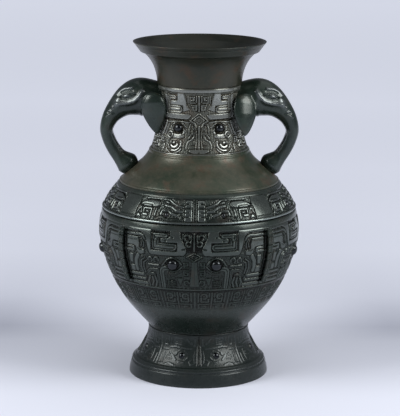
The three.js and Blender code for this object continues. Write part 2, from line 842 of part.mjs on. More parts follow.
// A leaf-shaped ear that lies back against the neck, on the side of the head that side names. Its
// lower end is narrower than its upper one.
function ear(side) {
  const leaf = new THREE.SphereGeometry(0.5, 12, 8);
  leaf.rotateX(Math.PI / 2);
  const points = leaf.getAttribute("position");
  for (let i = 0; i < points.count; i += 1)
    points.setX(i, points.getX(i) * (1 + EAR_TAPER * points.getZ(i)));
  leaf.scale(EAR_WIDTH, EAR_THICKNESS, EAR_LENGTH);
  leaf.rotateY(radians(EAR_LEAN));
  leaf.rotateZ(radians(-EAR_TURN) * side);
  leaf.translate(NECK_RADIUS + EAR_OUT, EAR_SPREAD * side, NECK_TOP - EAR_DROP);
  return solidOf(leaf);
}

// A round pin along Z with a domed head below z = 0, or, grown by the gap, the hole for it.
function pin(grip, grow, headed) {
  const radius = PIN_RADIUS + grow;
  const shank = [
    [radius, grip + grow],
    [0, grip + grow],
  ];
  const head = [
    [0, -PIN_HEAD_HEIGHT],
    [PIN_HEAD_RADIUS * 0.7, -PIN_HEAD_HEIGHT * 0.75],
    [PIN_HEAD_RADIUS, 0],
    [radius, 0],
  ];
  const blunt = [
    [0, -PIN_HEAD_HEIGHT],
    [radius, -PIN_HEAD_HEIGHT],
  ];
  return turned([...(headed ? head : blunt), ...shank], ROUND_SIDES);
}

// The three pins of a handle: where each head sits inside the wall, the way it points and how far
// it runs past the outer face.
function pinPlaces() {
  const across = new THREE.Vector3(1, 0, 0);
  const upper = NECK_TOP - UPPER_PIN_DROP;
  const lower = NECK_TOP - LOWER_PIN_DROP;
  const seat = tipSeat();
  const neckPin = (height) => {
    const reach = radiusAt(neckCurve, height) - WALL;
    const clear = reach - Math.sqrt(reach ** 2 - PIN_HEAD_RADIUS ** 2);
    return new THREE.Vector3(reach - clear - GAP, 0, height);
  };
  const inside = seat.point.clone().addScaledVector(seat.facing, -WALL - 2 * GAP);
  return [
    { name: "upper", start: neckPin(upper), facing: across, grip: WALL + PIN_GRIP },
    { name: "lower", start: neckPin(lower), facing: across, grip: WALL + PIN_GRIP },
    { name: "tip", start: inside, facing: seat.facing, grip: WALL + TIP_PIN_GRIP },
  ];
}

function pinTransform(pinPlace) {
  const up = new THREE.Vector3(0, 0, 1);
  const turn = new THREE.Quaternion().setFromUnitVectors(up, pinPlace.facing);
  return new THREE.Matrix4().compose(pinPlace.start, turn, new THREE.Vector3(1, 1, 1));
}

function makeHandles() {
  const holes = { upper: [], lower: [], tip: [] };
  const cutter = solidOf(vesselCutter());
  let head = solidOf(ovalTube(handleStations(), 20, 14));
  for (const side of [-1, 1]) head = head.add(ear(side));
  head = head.subtract(cutter);
  for (const pinPlace of pinPlaces()) {
    const drill = pin(pinPlace.grip, GAP, false).applyMatrix4(pinTransform(pinPlace));
    const hole = solidOf(drill);
    head = head.subtract(hole);
    holes[pinPlace.name].push(hole, solidOf(drill.clone().rotateZ(Math.PI)));
  }
  const headGeometry = geometryOf(head);
  for (const [sideName, turn] of [["left", Math.PI], ["right", 0]]) {
    const mesh = place(`handle_${sideName}`, headGeometry, bronze.handle);
    mesh.rotation.z = turn;
    for (const pinPlace of pinPlaces()) {
      const shape = pin(pinPlace.grip, 0, true).applyMatrix4(pinTransform(pinPlace));
      const pinMesh = place(`pin_${sideName}_${pinPlace.name}`, shape, bronze.inner);
      pinMesh.rotation.z = turn;
    }
  }
  return holes;
}

makeFoot();
makeBasePlate();
makeBowl();
makeBelly();
makeShoulderBand();
const pinHoles = makeHandles();
makeShoulder(pinHoles.tip);
makeNeck([...pinHoles.upper, ...pinHoles.lower]);
makeMouthRim();

export default zun;
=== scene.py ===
"""An archaistic bronze zun with elephant-head handles, dressed for its look.

Lengths in the tables are millimetres. Angles are degrees from the front, -Y, towards +X.
"""

import math

import bpy
import numpy as np
from mathutils import Matrix, Vector


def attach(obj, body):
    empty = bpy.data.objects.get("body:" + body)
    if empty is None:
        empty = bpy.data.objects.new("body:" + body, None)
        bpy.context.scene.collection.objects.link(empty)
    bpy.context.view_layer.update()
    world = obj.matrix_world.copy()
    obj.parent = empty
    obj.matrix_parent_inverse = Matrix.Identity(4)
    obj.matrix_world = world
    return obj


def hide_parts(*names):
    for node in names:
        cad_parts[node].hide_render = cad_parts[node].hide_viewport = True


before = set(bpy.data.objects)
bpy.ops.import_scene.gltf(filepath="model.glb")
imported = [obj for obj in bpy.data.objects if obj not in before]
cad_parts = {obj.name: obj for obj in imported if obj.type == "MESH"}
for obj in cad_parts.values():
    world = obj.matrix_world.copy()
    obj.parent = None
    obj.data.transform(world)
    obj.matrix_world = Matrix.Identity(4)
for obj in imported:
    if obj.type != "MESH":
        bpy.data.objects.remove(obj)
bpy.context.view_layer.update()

MM = 0.001

# Heights of the joints between the rings, and of the lip
WAIST_TOP = 58
BOWL_TOP = 122.5
BELLY_TOP = 203
BAND_TOP = 234
SHOULDER_TOP = 273
NECK_TOP = 350
MOUTH_TOP = 400

WALL = 4.5

# How far each ring's ornament is turned from the front
FOOT_TURN = 0.7
BELLY_TURN = -2.5
BAND_TURN = -2.4
NECK_TURN = -0.5

# The radius at which each ring's sheet of ornament has its true width
FOOT_RADIUS = 64.1
BOWL_RADIUS = 99.7
BELLY_RADIUS = 117.5
BAND_RADIUS = 108.9
NECK_RADIUS = 50.4

# How far the ornament's ground lies below its tops, and how soft its edges are
GROUND = -1.15
EDGE = 0.55

# How rubbed the inner faces are, and a face whose patina is whole
WEAR_SUNK = 0.35
WEAR_WHOLE = 0.75

# How dark a cut gets, the depth at which it is darkest, and how deep a line's own grooves are
CUT_DARK = 0.85
CUT_FULL = 0.6
LINE_DEPTH = 0.7


# Outlines


def sweep(start, start_lean, start_pull, end, end_lean, end_pull):
    """A smooth stretch of outline of (radius, height), leans in degrees from straight up."""
    a, d = np.array(start, float), np.array(end, float)
    span = np.linalg.norm(d - a)
    lean = np.radians([start_lean, end_lean])
    b = a + start_pull * span * np.array([np.sin(lean[0]), np.cos(lean[0])])
    c = d - end_pull * span * np.array([np.sin(lean[1]), np.cos(lean[1])])
    t = np.linspace(0, 1, 121)[:, None]
    return (1 - t) ** 3 * a + 3 * (1 - t) ** 2 * t * b + 3 * (1 - t) * t**2 * c + t**3 * d


def joined(*stretches):
    """Stretches end to end, each without the point that it shares with the last one."""
    return np.vstack([stretches[0]] + [s[1:] for s in stretches[1:]])


def spaced(line, spacing):
    """The line's points at an even distance along it."""
    along = np.r_[0, np.cumsum(np.linalg.norm(np.diff(line, axis=0), axis=1))]
    count = max(int(round(along[-1] / spacing)), 1)
    where = np.linspace(0, along[-1], count + 1)
    return np.stack([np.interp(where, along, line[:, k]) for k in (0, 1)], -1)


def normals(line):
    """The outward direction at each point of an outline that runs upwards."""
    run = np.gradient(line, axis=0)
    run /= np.linalg.norm(run, axis=1)[:, None]
    return np.stack([run[:, 1], -run[:, 0]], -1)


def inset(line, keep):
    """About this many of the line's points, a wall's thickness inwards, from the top down."""
    moved = line - normals(line) * WALL
    return moved[:: -max(len(line) // keep, 1)]


foot_curve = sweep((75.5, 21.4), -43, 0.303, (60.2, WAIST_TOP), 0, 0.353)
bowl_curve = joined(
    np.array([(60.2, WAIST_TOP), (60.25, 60.2), (61, 61)]),
    sweep((61, 61), 42, 0.37, (105.4, BOWL_TOP), 23.5, 0.37),
)
belly_curve = joined(
    sweep((105.4, BOWL_TOP), 23.5, 0.253, (119.6, 176), 0, 0.325),
    sweep((119.6, 176), 0, 0.439, (115, BELLY_TOP), -14, 0.293),
)
band_curve = sweep((115, BELLY_TOP), -14, 0.326, (95.1, BAND_TOP), -42, 0.326)
shoulder_curve = sweep((95.1, BAND_TOP), -36, 0.525, (58.8, SHOULDER_TOP), -25, 0.431)
neck_curve = joined(
    sweep((58.8, SHOULDER_TOP), -28, 0.183, (49.1, 332.3), 0, 0.366),
    sweep((49.1, 332.3), 0, 0.339, (49.9, NECK_TOP), 3.5, 0.339),
)
throat_curve = sweep((49.9, NECK_TOP), 3.5, 0.437, (64.8, 385.8), 47, 0.309)
vessel_curve = joined(
    bowl_curve, belly_curve, band_curve, shoulder_curve, neck_curve, throat_curve
)


def vessel_radius(height):
    """The vessel's outer radius at a height."""
    return np.interp(height, vessel_curve[:, 1], vessel_curve[:, 0])


# Relief drawn on a flat sheet of u across and z up


def smooth(x):
    """A soft step from 0 to 1 while x goes from 0 to 1."""
    x = np.clip(x, 0, 1)
    return x * x * (3 - 2 * x)


def bell(x, width):
    """A soft bump of height 1 round x = 0."""
    return np.exp(-((x / width) ** 2))


def distance(u, z, path):
    """Distance of each point to a path of straight runs."""
    best = np.full(u.shape, 1e9)
    for (ua, za), (ub, zb) in zip(path[:-1], path[1:], strict=True):
        du, dz = ub - ua, zb - za
        t = np.clip(((u - ua) * du + (z - za) * dz) / (du * du + dz * dz), 0, 1)
        best = np.minimum(best, np.hypot(u - ua - t * du, z - za - t * dz))
    return best


def inside(u, z, corners):
    """Whether each point lies in a closed outline."""
    result = np.zeros(u.shape, bool)
    for (ua, za), (ub, zb) in zip(corners, corners[1:] + corners[:1], strict=True):
        if za == zb:
            continue
        crosses = (za > z) != (zb > z)
        result ^= crosses & (u < (ub - ua) * (z - za) / (zb - za) + ua)
    return result


def arc(centre_u, centre_z, radius, start, end):
    """Points on an arc, angles in degrees from +u towards +z."""
    turn = np.radians(np.linspace(start, end, 14))
    return [(centre_u + radius * math.cos(t), centre_z + radius * math.sin(t)) for t in turn]


def hook(u, z, size, flip=1, rise=1):
    """A squared spiral that starts at the lower left and winds inwards."""
    turns = [(-1, -1), (1, -1), (1, 1), (-0.55, 1), (-0.55, -0.1), (0.3, -0.1)]
    return [(u + flip * (a * size), z + rise * (b * size)) for a, b in turns]


class Sheet:
    """Relief on a flat sheet. h is its height, 0 on raised parts and GROUND between them. The wear
    level is how rubbed it is, with painted light in it: 0 in dark cuts, 0.75 where the patina is
    whole, 0.95 on tops, up to 1.1 on bare metal and painted highlights, and capped lower as painted
    shade. polish is 1 on glossy buttons."""

    def __init__(self, u, z, pitch, ground, top):
        self.u, self.z, self.top = u, z, top
        self.h = np.full(u.shape, GROUND)
        self.wear_and_light = np.full(u.shape, ground)
        self.polish = np.zeros(u.shape)
        self.thunder(pitch)

    def thunder(self, pitch):
        """Small squared spirals all over the ground."""
        tile = pitch * 4
        x, y = self.u / tile, (self.z + 1.3) / tile
        flip_x, flip_y = np.floor(x) % 2, np.floor(y) % 2
        x, y = (x % 1) * 2 - 1, (y % 1) * 2 - 1
        x, y = np.where(flip_x, -x, x), np.where(flip_y, -y, y)
        reach = np.maximum(np.abs(x), np.abs(y))
        winding = np.sin(2 * np.pi * (2 * reach - np.arctan2(y, x) / (2 * np.pi)))
        wave = smooth(winding * 0.9 + 0.45)
        self.h = self.h + 0.6 * wave
        self.wear_and_light = self.wear_and_light + 0.3 * wave - 0.12

    def near(self, path, margin):
        """The part of the sheet that a path can reach."""
        points = np.array(path)
        low, high = points.min(0) - margin, points.max(0) + margin
        in_u = (self.u >= low[0]) & (self.u <= high[0])
        return in_u & (self.z >= low[1]) & (self.z <= high[1])

    def field(self, corners, margin):
        """Where a closed outline can reach, and the distance outside it, less than 0 within."""
        closed_path = corners + corners[:1]
        where = self.near(closed_path, margin)
        u, z = self.u[where], self.z[where]
        return where, distance(u, z, closed_path) * np.where(inside(u, z, corners), -1, 1)

    def set_level(self, where, share, level, away, wear_and_light):
        """Moves part of the sheet to a level, with a dark cut just outside it."""
        rim = bell(away - 0.6, 0.5)
        self.h[where] = (self.h[where] - 0.5 * rim) * (1 - share) + level * share
        self.wear_and_light[where] = self.wear_and_light[where] * (1 - 0.9 * rim) * (1 - share) + wear_and_light * share

    def sink(self, where, share, depth):
        """Lowers part of the sheet, and darkens it the more the deeper it goes."""
        self.h[where] -= depth * share
        self.wear_and_light[where] *= 1 - CUT_DARK * min(depth / CUT_FULL, 1) * share

    def line(self, path, half=0.8, grooves=(), level=0, thin=0.5):
        """A raised line along a path, with grooves at some distances from its middle."""
        where = self.near(path, half + 2.5)
        d = distance(self.u[where], self.z[where], path)
        share = smooth((half - d) / EDGE + 0.5)
        self.set_level(where, share, level, d - half, self.top)
        for groove in grooves:
            self.sink(where, share * bell(d - groove, thin), LINE_DEPTH)

    def plate(self, corners, level=0, wear_and_light=None):
        """A raised plain field."""
        where, d = self.field(corners, 2.5)
        share = smooth(0.5 - d / EDGE)
        self.set_level(where, share, level, d, self.top if wear_and_light is None else wear_and_light)

    def ground(self, corners, wear_and_light):
        """Another depth of tone for part of the ground, before its forms are drawn."""
        where, d = self.field(corners, 2)
        self.wear_and_light[where] += (wear_and_light - 0.5) * smooth(0.5 - d / 2)

    def paint_shade(self, corners, most):
        """Painted shade: keeps part of the sheet from being rubbed more than this, so its tops stay
        darker.
        """
        where, d = self.field(corners, 4)
        capped = np.minimum(self.wear_and_light[where], most)
        self.wear_and_light[where] += (capped - self.wear_and_light[where]) * smooth(0.5 - d / 6)

    def paint_highlight(self, corners, gain):
        """Painted highlight: lightens the tops in part of the sheet towards bare metal."""
        where, d = self.field(corners, 4)
        top = smooth((self.wear_and_light[where] - 0.78) / 0.12)
        self.wear_and_light[where] += gain * top * smooth(0.5 - d / 6)

    def cut(self, path, width, depth):
        where = self.near(path, width * 3)
        d = distance(self.u[where], self.z[where], path)
        self.sink(where, bell(d, width), depth)

    def trench(self, away, width, depth, share=1):
        """A cut along the line where away, the distance from it, is 0."""
        self.sink(..., share * bell(away, width), depth)

    def boss(self, u, z, radius, rise, socket=1.2):
        """A domed dark button in a sunk ring."""
        where = self.near([(u, z)], radius + 4)
        d = np.hypot(self.u[where] - u, self.z[where] - z)
        on = d < radius
        ring = bell(d - radius - 0.8, 1)
        h = self.h[where] * (1 - ring) + (GROUND - socket * 0.4) * ring
        dome = rise * np.sqrt(np.clip(1 - (d / radius) ** 2, 0, 1))
        self.h[where] = np.where(on, np.maximum(dome, GROUND), h)
        wear_and_light = self.wear_and_light[where] * (1 - ring)
        self.wear_and_light[where] = np.where(on, 0.78 - 0.4 * smooth((d / radius - 0.8) / 0.2), wear_and_light)
        self.polish[where] = np.where(on, 1, self.polish[where])

    def bounded(self, bottom, top, plain, low_cut, high_cut, wear_and_light):
        """Leaves the ornament between two heights and a plain face outside, with a cut at each."""
        inner = smooth((self.z - bottom) / EDGE + 0.5) * smooth((top - self.z) / EDGE + 0.5)
        self.h = self.h * inner + plain * (1 - inner)
        self.wear_and_light = self.wear_and_light * inner + wear_and_light * (1 - inner)
        for height, cut in ((bottom, low_cut), (top, high_cut)):
            if cut > 0:
                self.trench(self.z - height, 0.5, cut)


def moulding(z, centre, width, rise):
    """A round bead or, with a negative rise, a groove."""
    return rise * np.sqrt(np.clip(1 - ((z - centre) / (width / 2)) ** 2, 0, 1))


def belly_relief(u, z):
    """Half a mask of the belly, u from 0 at its nose to 92 at the rib."""
    s = Sheet(u, z, 1.7, 0.54, 0.885)
    # Painted shade: a darker ground on the forehead.
    s.ground([(-2, 197), (17, 197), (15, 188), (9, 171), (-2, 171)], 0.05)
    s.ground([
        (19, 172), (52, 172), (52, 196), (28, 196), (28, 187), (39, 187), (39, 182), (19, 182),
    ], 0.2)
    s.ground([(56, 174), (60, 190), (68, 190), (68, 172)], 0.3)
    # curls of the forehead
    s.line([(0, 173), (0, 193)], 0.9)
    s.line(arc(8.4, 188.4, 3.2, 200, -100))
    s.line(arc(6.4, 181, 2.9, 160, -140))
    s.line([(3.6, 191), (3.2, 185.5), (4.4, 183)], 0.7)
    s.line([(12.8, 192), (13.6, 186)], 0.7)
    # sloping frame with its tongue, the bar under the horn and the upright that joins the fillet
    s.plate([
        (17, 195.5), (28.4, 195.5), (28.2, 188.8), (30, 187.5), (37, 187.4), (39, 186.2),
        (39.5, 184.6), (38.8, 182.8), (36.8, 182), (19.4, 182.4), (19.4, 172), (51.6, 172),
        (51.8, 195.5), (92, 195.5), (92, 191), (70, 192.6), (64, 192), (60, 188.8), (57.2, 182),
        (55.6, 174.5), (53.2, 168), (50.8, 166.6), (20, 167), (11.5, 167.8), (9.2, 171.5),
        (9.6, 176.6), (12.6, 182), (15.4, 188),
    ])
    s.cut([(9, 175.6), (13.6, 175)], 0.6, 0.9)
    s.cut([(32.4, 184.5), (33.6, 184.5)], 0.8, 1)
    s.cut([(24.6, 187.8), (25.6, 189.2)], 0.7, 0.7)
    # horn: two nested loops below, a rounded bar above
    s.line([(24.2, 177), (45.6, 177), (45.6, 186)], 4, (1.9,), thin=0.65)
    s.line([(45.6, 186), (46.8, 190), (33, 190)], 2.2, (0,), thin=0.6)
    s.cut([(30, 192.9), (52, 192.9)], 0.55, 0.9)
    # second horn, its plain block and the face that comes down from it
    s.line([(60, 184), (62, 187.4), (66.5, 188.9), (73, 188.2), (92, 188.2)], 1.35)
    s.plate([
        (66.6, 178), (68.6, 185.6), (84.6, 185.6), (84.6, 175.2), (74.4, 175.2), (72.2, 174.4),
        (70.8, 171.2), (69.4, 166.6), (66.6, 165), (60.6, 166.6), (60.2, 171.2), (65.6, 172.4),
        (67.2, 174.6),
    ])
    s.cut([(68.6, 182.4), (84, 182.4)], 0.4, 0.25)
    s.cut([(60.8, 171.8), (66.2, 170.6), (69.2, 172.4)], 0.5, 0.5)
    s.line([(60.8, 174.4), (60.8, 180.4), (63.6, 184.2)], 0.7)
    s.line([(64.2, 175.4), (63.6, 179.4)], 0.7)
    s.line([(92, 168.9), (75, 168.9), (75, 173), (83.6, 173)], 1.25)
    # claw that comes down beside the rib, with thin lines on its inner side
    s.line([(69.6, 163.6), (73, 158), (74.2, 150), (73.4, 146)], 2.4)
    s.line([(60.8, 161), (65.6, 158), (66.8, 150), (65, 142), (62.6, 136)], 0.75)
    s.line([(58.2, 158.6), (62.2, 156), (63.2, 150), (61.8, 143)], 0.7)
    s.plate([(76.6, 164), (82.4, 164), (82.4, 153.4), (78.4, 153.4)])
    s.plate([(77, 150.4), (83, 150.4), (83, 143), (76.4, 143)])
    s.line([(66.5, 139.8), (84, 139.8)], 1.5)
    # temple
    s.line(arc(45.4, 160.6, 3, -60, 210), 0.85)
    s.line(arc(53.2, 160.2, 2.8, 240, -30))
    s.line([(34.6, 155.6), (39.4, 153.2)])
    s.line([(42.5, 153.8), (56.5, 153.8)], 0.7)
    # eye
    s.line([(13.4, 154.6), (18, 160.3), (25.4, 164.4), (32.4, 161.4), (38.4, 154.2)])
    s.line([(13.4, 154.6), (18.6, 149.6), (25.4, 147.2), (31.6, 148.4)])
    # nose with its bridge, forehead diamond and nostrils
    s.plate([
        (-4, 160.5), (2.6, 160.5), (3.4, 148), (4.6, 138), (6.5, 133), (6, 128.4), (-4, 128.4),
    ], -0.3)
    s.cut([(0, 158), (0, 130)], 0.5, 0.45)
    s.line([(-8.4, 165.6), (0, 170.4), (8.4, 165.6), (0, 160.8), (-8.4, 165.6)], 0.65)
    s.line([(-3.8, 165.6), (0, 167.9), (3.8, 165.6), (0, 163.4), (-3.8, 165.6)], 0.45)
    s.line(arc(9.6, 132.6, 3, 180, -90), 0.9, (), -0.2)
    s.line(hook(9.2, 155.5, 2.7), 0.65, (), -0.2)
    s.line(hook(9.4, 146, 3, 1, -1), 0.7, (), -0.2)
    # mouth, lip and teeth
    s.line([
        (14.5, 149), (22, 144.5), (29.6, 144.2), (32.2, 140.6), (29, 137.8), (25, 139),
    ], 1, (0,), -0.15)
    s.plate([(13.6, 139.4), (21, 139.4), (17.6, 129.4)], -0.2)
    for height in (128.2, 130.3, 132.4, 134.5):
        s.line([(23.5, height), (33, height)], 0.6)
    # cheek and jaw
    s.line([(32, 151.3), (37.4, 150.4), (39.6, 147.4), (39.6, 127)], 2.7, (0,))
    s.line([
        (44.8, 127), (44.8, 147.8), (54.4, 147.8), (57.6, 145), (56, 141.8), (50.2, 141.8),
    ], 1.6, (0,))
    s.line([(49.4, 139.4), (47.8, 133), (50.4, 127)], 1.1)
    s.line([(53.4, 138.6), (52.6, 133), (55.8, 127)], 1.1)
    s.line([(57, 137.8), (60.2, 132), (59, 127)], 1.2)
    s.line([(92, 134.2), (64.5, 134.2)], 1.2)
    s.line([(92, 128.6), (62.5, 128.6)], 1.6)
    # Painted shade: the forehead, nose, jaw and lower face are kept darker.
    s.paint_shade([(-2, 125), (-2, 172), (56, 172), (56, 125)], 0.85)
    s.paint_shade([(-2, 172), (-2, 197), (16, 197), (14, 188), (9, 172)], 0.82)
    s.paint_shade([(-2, 125), (-2, 168), (8, 168), (13, 160), (13, 150), (34, 147), (35, 125)], 0.75)
    s.paint_shade([(56, 125), (56, 141), (92, 141), (92, 125)], 0.84)
    s.boss(25.6, 155.5, 5.8, 3.6)
    s.bounded(125.6, 195.6, plain=-0.2, low_cut=0.5, high_cut=0, wear_and_light=0.83)
    # a cut along the rib, darkened as the painted shade of the rib's side
    s.trench(u - 87.6, 1.3, 1.1, smooth((z - 126) / 2) * smooth((193.6 - z) / 2))
    s.h += moulding(z, 199, 7, 0.25)
    # Painted highlight: bare tops along the top of the mask towards the rib.
    s.paint_highlight([(30, 192), (30, 197), (92, 197), (92, 186), (70, 188), (56, 190)], 0.05)
    s.wear_and_light -= 0.1 * smooth((z - 199.5) / 2)
    s.trench(z - 202.6, 0.9, 1.2)
    s.trench(z - BOWL_TOP, 0.7, 0.8)
    return s


def neck_relief(u, z):
    """Half a mask of the neck, u from 0 at its nose to 79 at the side."""
    s = Sheet(u, z, 1.55, 0.68, 0.97)
    # Painted shade: a darker ground on the forehead.
    s.ground([(-2, 346), (18, 346), (15, 331), (9, 322), (-2, 322)], 0.45)
    s.ground([
        (20, 321), (44, 321), (44, 341), (28, 341), (28, 335), (38, 335), (38, 330), (20, 330),
    ], 0.25)
    # ground of the forehead
    s.line([(0, 323), (0, 341)], 0.7)
    s.line(hook(8, 336.4, 3.2), 0.75)
    s.line(hook(5.8, 327.6, 2.7, -1, -1), 0.75)
    s.line([(3.2, 341), (3.2, 334)], 0.6)
    s.line([(13.2, 341), (13.4, 333)], 0.7)
    # frame with its tongue, horn, and the bar that turns up behind the horn
    s.plate([
        (18.8, 344.6), (27.4, 344.6), (27.2, 336.6), (29, 334.8), (37, 334.6), (39, 333.6),
        (39.4, 332), (38.6, 330.4), (36.6, 329.8), (19.6, 330), (19.4, 322.6), (11, 325.4),
        (15.4, 330.6), (16, 336),
    ])
    s.line([(24.6, 325.2), (38.5, 325.2)], 4.1, (2,), thin=0.7)
    s.line([(30.6, 338.8), (40, 338.8), (40.6, 334), (40.6, 325.3)], 2, (0,), thin=0.55)
    s.plate([
        (9.4, 318.4), (11.6, 320), (41, 320), (43.4, 323), (43.6, 344.6), (47.6, 344.6), (48, 330),
        (47.4, 319), (44.6, 314.6), (13.6, 314),
    ], 0.15)
    s.cut([(28.4, 342.2), (62, 342.2)], 0.6, 0.9)
    s.cut([(11, 312.5), (44, 312.5)], 0.9, 1.1)
    s.line([(12, 310.2), (18, 311), (31, 310.6), (41, 310)])
    # forehead diamond and the lines that run down beside the nose
    s.line([(-9.4, 313.4), (0, 320.8), (9.4, 313.4)], 0.75)
    s.line([(-6.4, 313.2), (0, 317.9), (6.4, 313.2), (0, 308.8), (-6.4, 313.2)], 0.6)
    s.line([
        (10.6, 312.4), (5.6, 310.2), (3.4, 305), (4.2, 297), (7.6, 291), (11.6, 288.6),
        (13.4, 285.2), (13.6, 280.6),
    ], 0.8)
    s.line([(7.4, 306.5), (8, 298.5), (12, 291.9)], 0.65)
    s.line([(10.2, 308.6), (11.5, 302), (11.5, 296.5)], 0.65)
    # nose
    s.line([(0, 306), (0, 279.6)], 1.1)
    s.line([(2.9, 300), (2.6, 290), (3.4, 280)], 0.55)
    s.line(arc(5.6, 303.4, 1.3, 200, -90), 0.5)
    s.line(arc(5.8, 297.6, 1.3, 160, -120), 0.5)
    s.plate([(-6, 279.4), (4.2, 279.8), (10, 279.2), (10.6, 277.4), (6, 275.6), (-6, 275.6)], 0.1)
    s.cut([(-0.6, 276.4), (0.6, 276.4)], 0.8, 0.9)
    s.cut([(4.6, 284.6), (8.2, 284.6)], 0.6, 0.8)
    # lids, the bright corners of the eye and the smooth cheekbone
    s.line([(14.4, 304.4), (18.2, 308.4), (25, 309.6), (31.6, 308.4), (36.4, 303.8)], 0.7)
    s.plate([
        (17, 296.8), (22, 297.2), (30.4, 297), (34.6, 293.6), (30.4, 291.8), (22, 291.8),
        (17.2, 293.4),
    ], 0.25)
    s.line([(18.4, 302.6), (16.8, 300.2), (18.2, 297.6)], 1.15)
    s.line([(31.8, 299.8), (33.4, 301.6), (34, 304.6)], 1)
    # cheek: three open rings round a button, thick below
    s.line([(28.2, 286.8), (29.8, 286.6)], 1.2)
    s.line(arc(28.9, 286.5, 3.9, -200, 20), 0.7)
    s.line(arc(28.5, 286, 4.6, -165, -40), 1.15)
    s.line(arc(29.2, 286.6, 7.6, -55, 70), 0.65)
    s.line(arc(28.2, 285.9, 8.2, -200, -75), 1.1)
    s.line(arc(29, 286, 11.2, -150, -35), 0.7)
    # curl beside the eye and hooks under the handle
    s.line(arc(35.4, 295.6, 3.4, 215, -90), 1)
    s.line([(35.2, 295.6), (36.2, 295.6)], 0.9)
    s.line([(41.4, 311), (44, 303), (47.4, 294.4), (50.4, 284.4)])
    s.line([(38.2, 307), (40.6, 301.4), (42.6, 296)], 0.65)
    s.line(hook(46, 289.4, 2.6), 0.7)
    s.line(hook(55, 283.6, 3.4, -1))
    s.line(hook(56, 293.6, 3.6, 1, -1))
    s.line(hook(66, 286, 3.6))
    s.line(hook(66, 299, 3.8, -1))
    s.line([(42, 278.6), (42, 284)])
    # Painted shade: the nose and forehead are kept darker.
    s.paint_shade([
        (-2, 274), (-2, 346), (18, 346), (14, 331), (10, 320), (10, 308), (13, 292), (15, 274),
    ], 0.89)
    # Painted highlight: bare tops at the side of the neck.
    s.paint_highlight([(40, 274), (40, 345), (80, 345), (80, 274)], 0.06)
    s.boss(25, 303.6, 4.8, 3.4, 2.2)
    # Painted shadow: a darkened cut under the eye's button.
    s.cut(arc(25, 303.6, 6, 205, 335), 0.9, 1)
    s.bounded(275, 344.4, plain=0, low_cut=0.5, high_cut=0.2, wear_and_light=0.92)
    s.h += moulding(z, 347, 4.4, 0.35)
    s.trench(z - 349.7, 0.55, 0.8)
    return s


def band_relief(u, z):
    """Half a group of the shoulder band, u from 0 at its axis to 85.5."""
    s = Sheet(u, z, 1.6, 0.72, 0.98)
    for across in (0, 1.65):
        s.line([(across, 204), (across, 230)], 0.45)
    s.plate([(3.4, 206.4), (3.4, 228.6), (11.4, 228.6), (11.4, 206.4)])
    for left, height, width in ((5, 220.4, 0.9), (7, 224.8, 0.7), (7, 211.6, 0.8), (6.4, 216, 0.5)):
        s.cut([(left, height), (11.4, height)], width, 1.2)
    # head and mane of the dragon
    s.line([
        (14.5, 221.6), (20.5, 222.8), (27, 225.4), (31.4, 228.2), (39, 228.9), (64, 228.5),
    ], 0.85)
    s.line([(32.4, 225.4), (35.6, 226.2)], 0.9)
    s.line([(15, 217), (21.5, 217.6), (27.5, 221.4), (36, 222.8)], 1.1)
    s.line([(20.6, 212.6), (26.6, 214.4), (33, 217.4), (38.6, 217.4), (39.6, 213)], 1.1)
    s.line([
        (15.5, 211.6), (15.5, 207.6), (33.5, 207.6), (37.4, 210.4), (41.6, 209.4), (46, 206.8),
    ], 1.1, (0,))
    # back, body loop and claw
    s.plate([
        (43.6, 221.6), (43.8, 225.4), (46.4, 226.5), (59.6, 226.7), (67.4, 224), (70.4, 221.8),
        (64.4, 221.2), (52, 220.6),
    ], -0.1)
    s.cut([(43, 220), (43, 226), (46, 227.5), (60, 227.6), (68, 224.6), (71, 222.4)], 0.55, 0.8)
    s.line([(54, 221), (65, 221.2)], 0.7, (), 0.2)
    s.line([(46.4, 218.4), (47, 211.5)], 1)
    s.line([(52.6, 208.4), (52.6, 218.2), (62.6, 218.2), (62.6, 211.4), (57, 211.4)], 0.95)
    s.line([(59, 214.8), (56, 214.8)])
    # The claw's plate is rubbed bare: wear, and also a painted highlight.
    s.plate([(63.9, 207.2), (68.4, 212.6), (71.6, 207.2), (68.4, 208.8)], 0.25, 1)
    s.line([(64.6, 212.8), (68.2, 219.2), (71.4, 212.8)], 0.75)
    # plain stretch between two groups
    s.plate([
        (73.2, 205), (73.2, 216), (71.6, 224), (74.4, 230.4), (90, 230.4), (90, 205),
    ], -0.15, 0.88)
    s.cut([(75, 208.6), (90, 208.6)], 0.5, 0.4)
    s.boss(32.8, 213.2, 1.9, 0.6, 0.4)
    s.bounded(205.9, 229.6, plain=0, low_cut=0.7, high_cut=0.5, wear_and_light=0.9)
    ridge = moulding(z, 204.5, 2.4, 1)
    s.h += 1.15 * ridge
    # Painted highlight: the ridge is bare metal only from u 22 on, away from the front, and duller
    # at the front.
    rubbed = 0.87 + 0.23 * smooth((u - 22) / 16)
    s.wear_and_light += (rubbed - s.wear_and_light) * smooth(ridge * 2)
    s.h += 0.25 * smooth((z - 229.9) / 1.2) * smooth((233.4 - z) / 0.8)
    s.wear_and_light = np.where(z > 230.2, 0.8, s.wear_and_light)
    return s


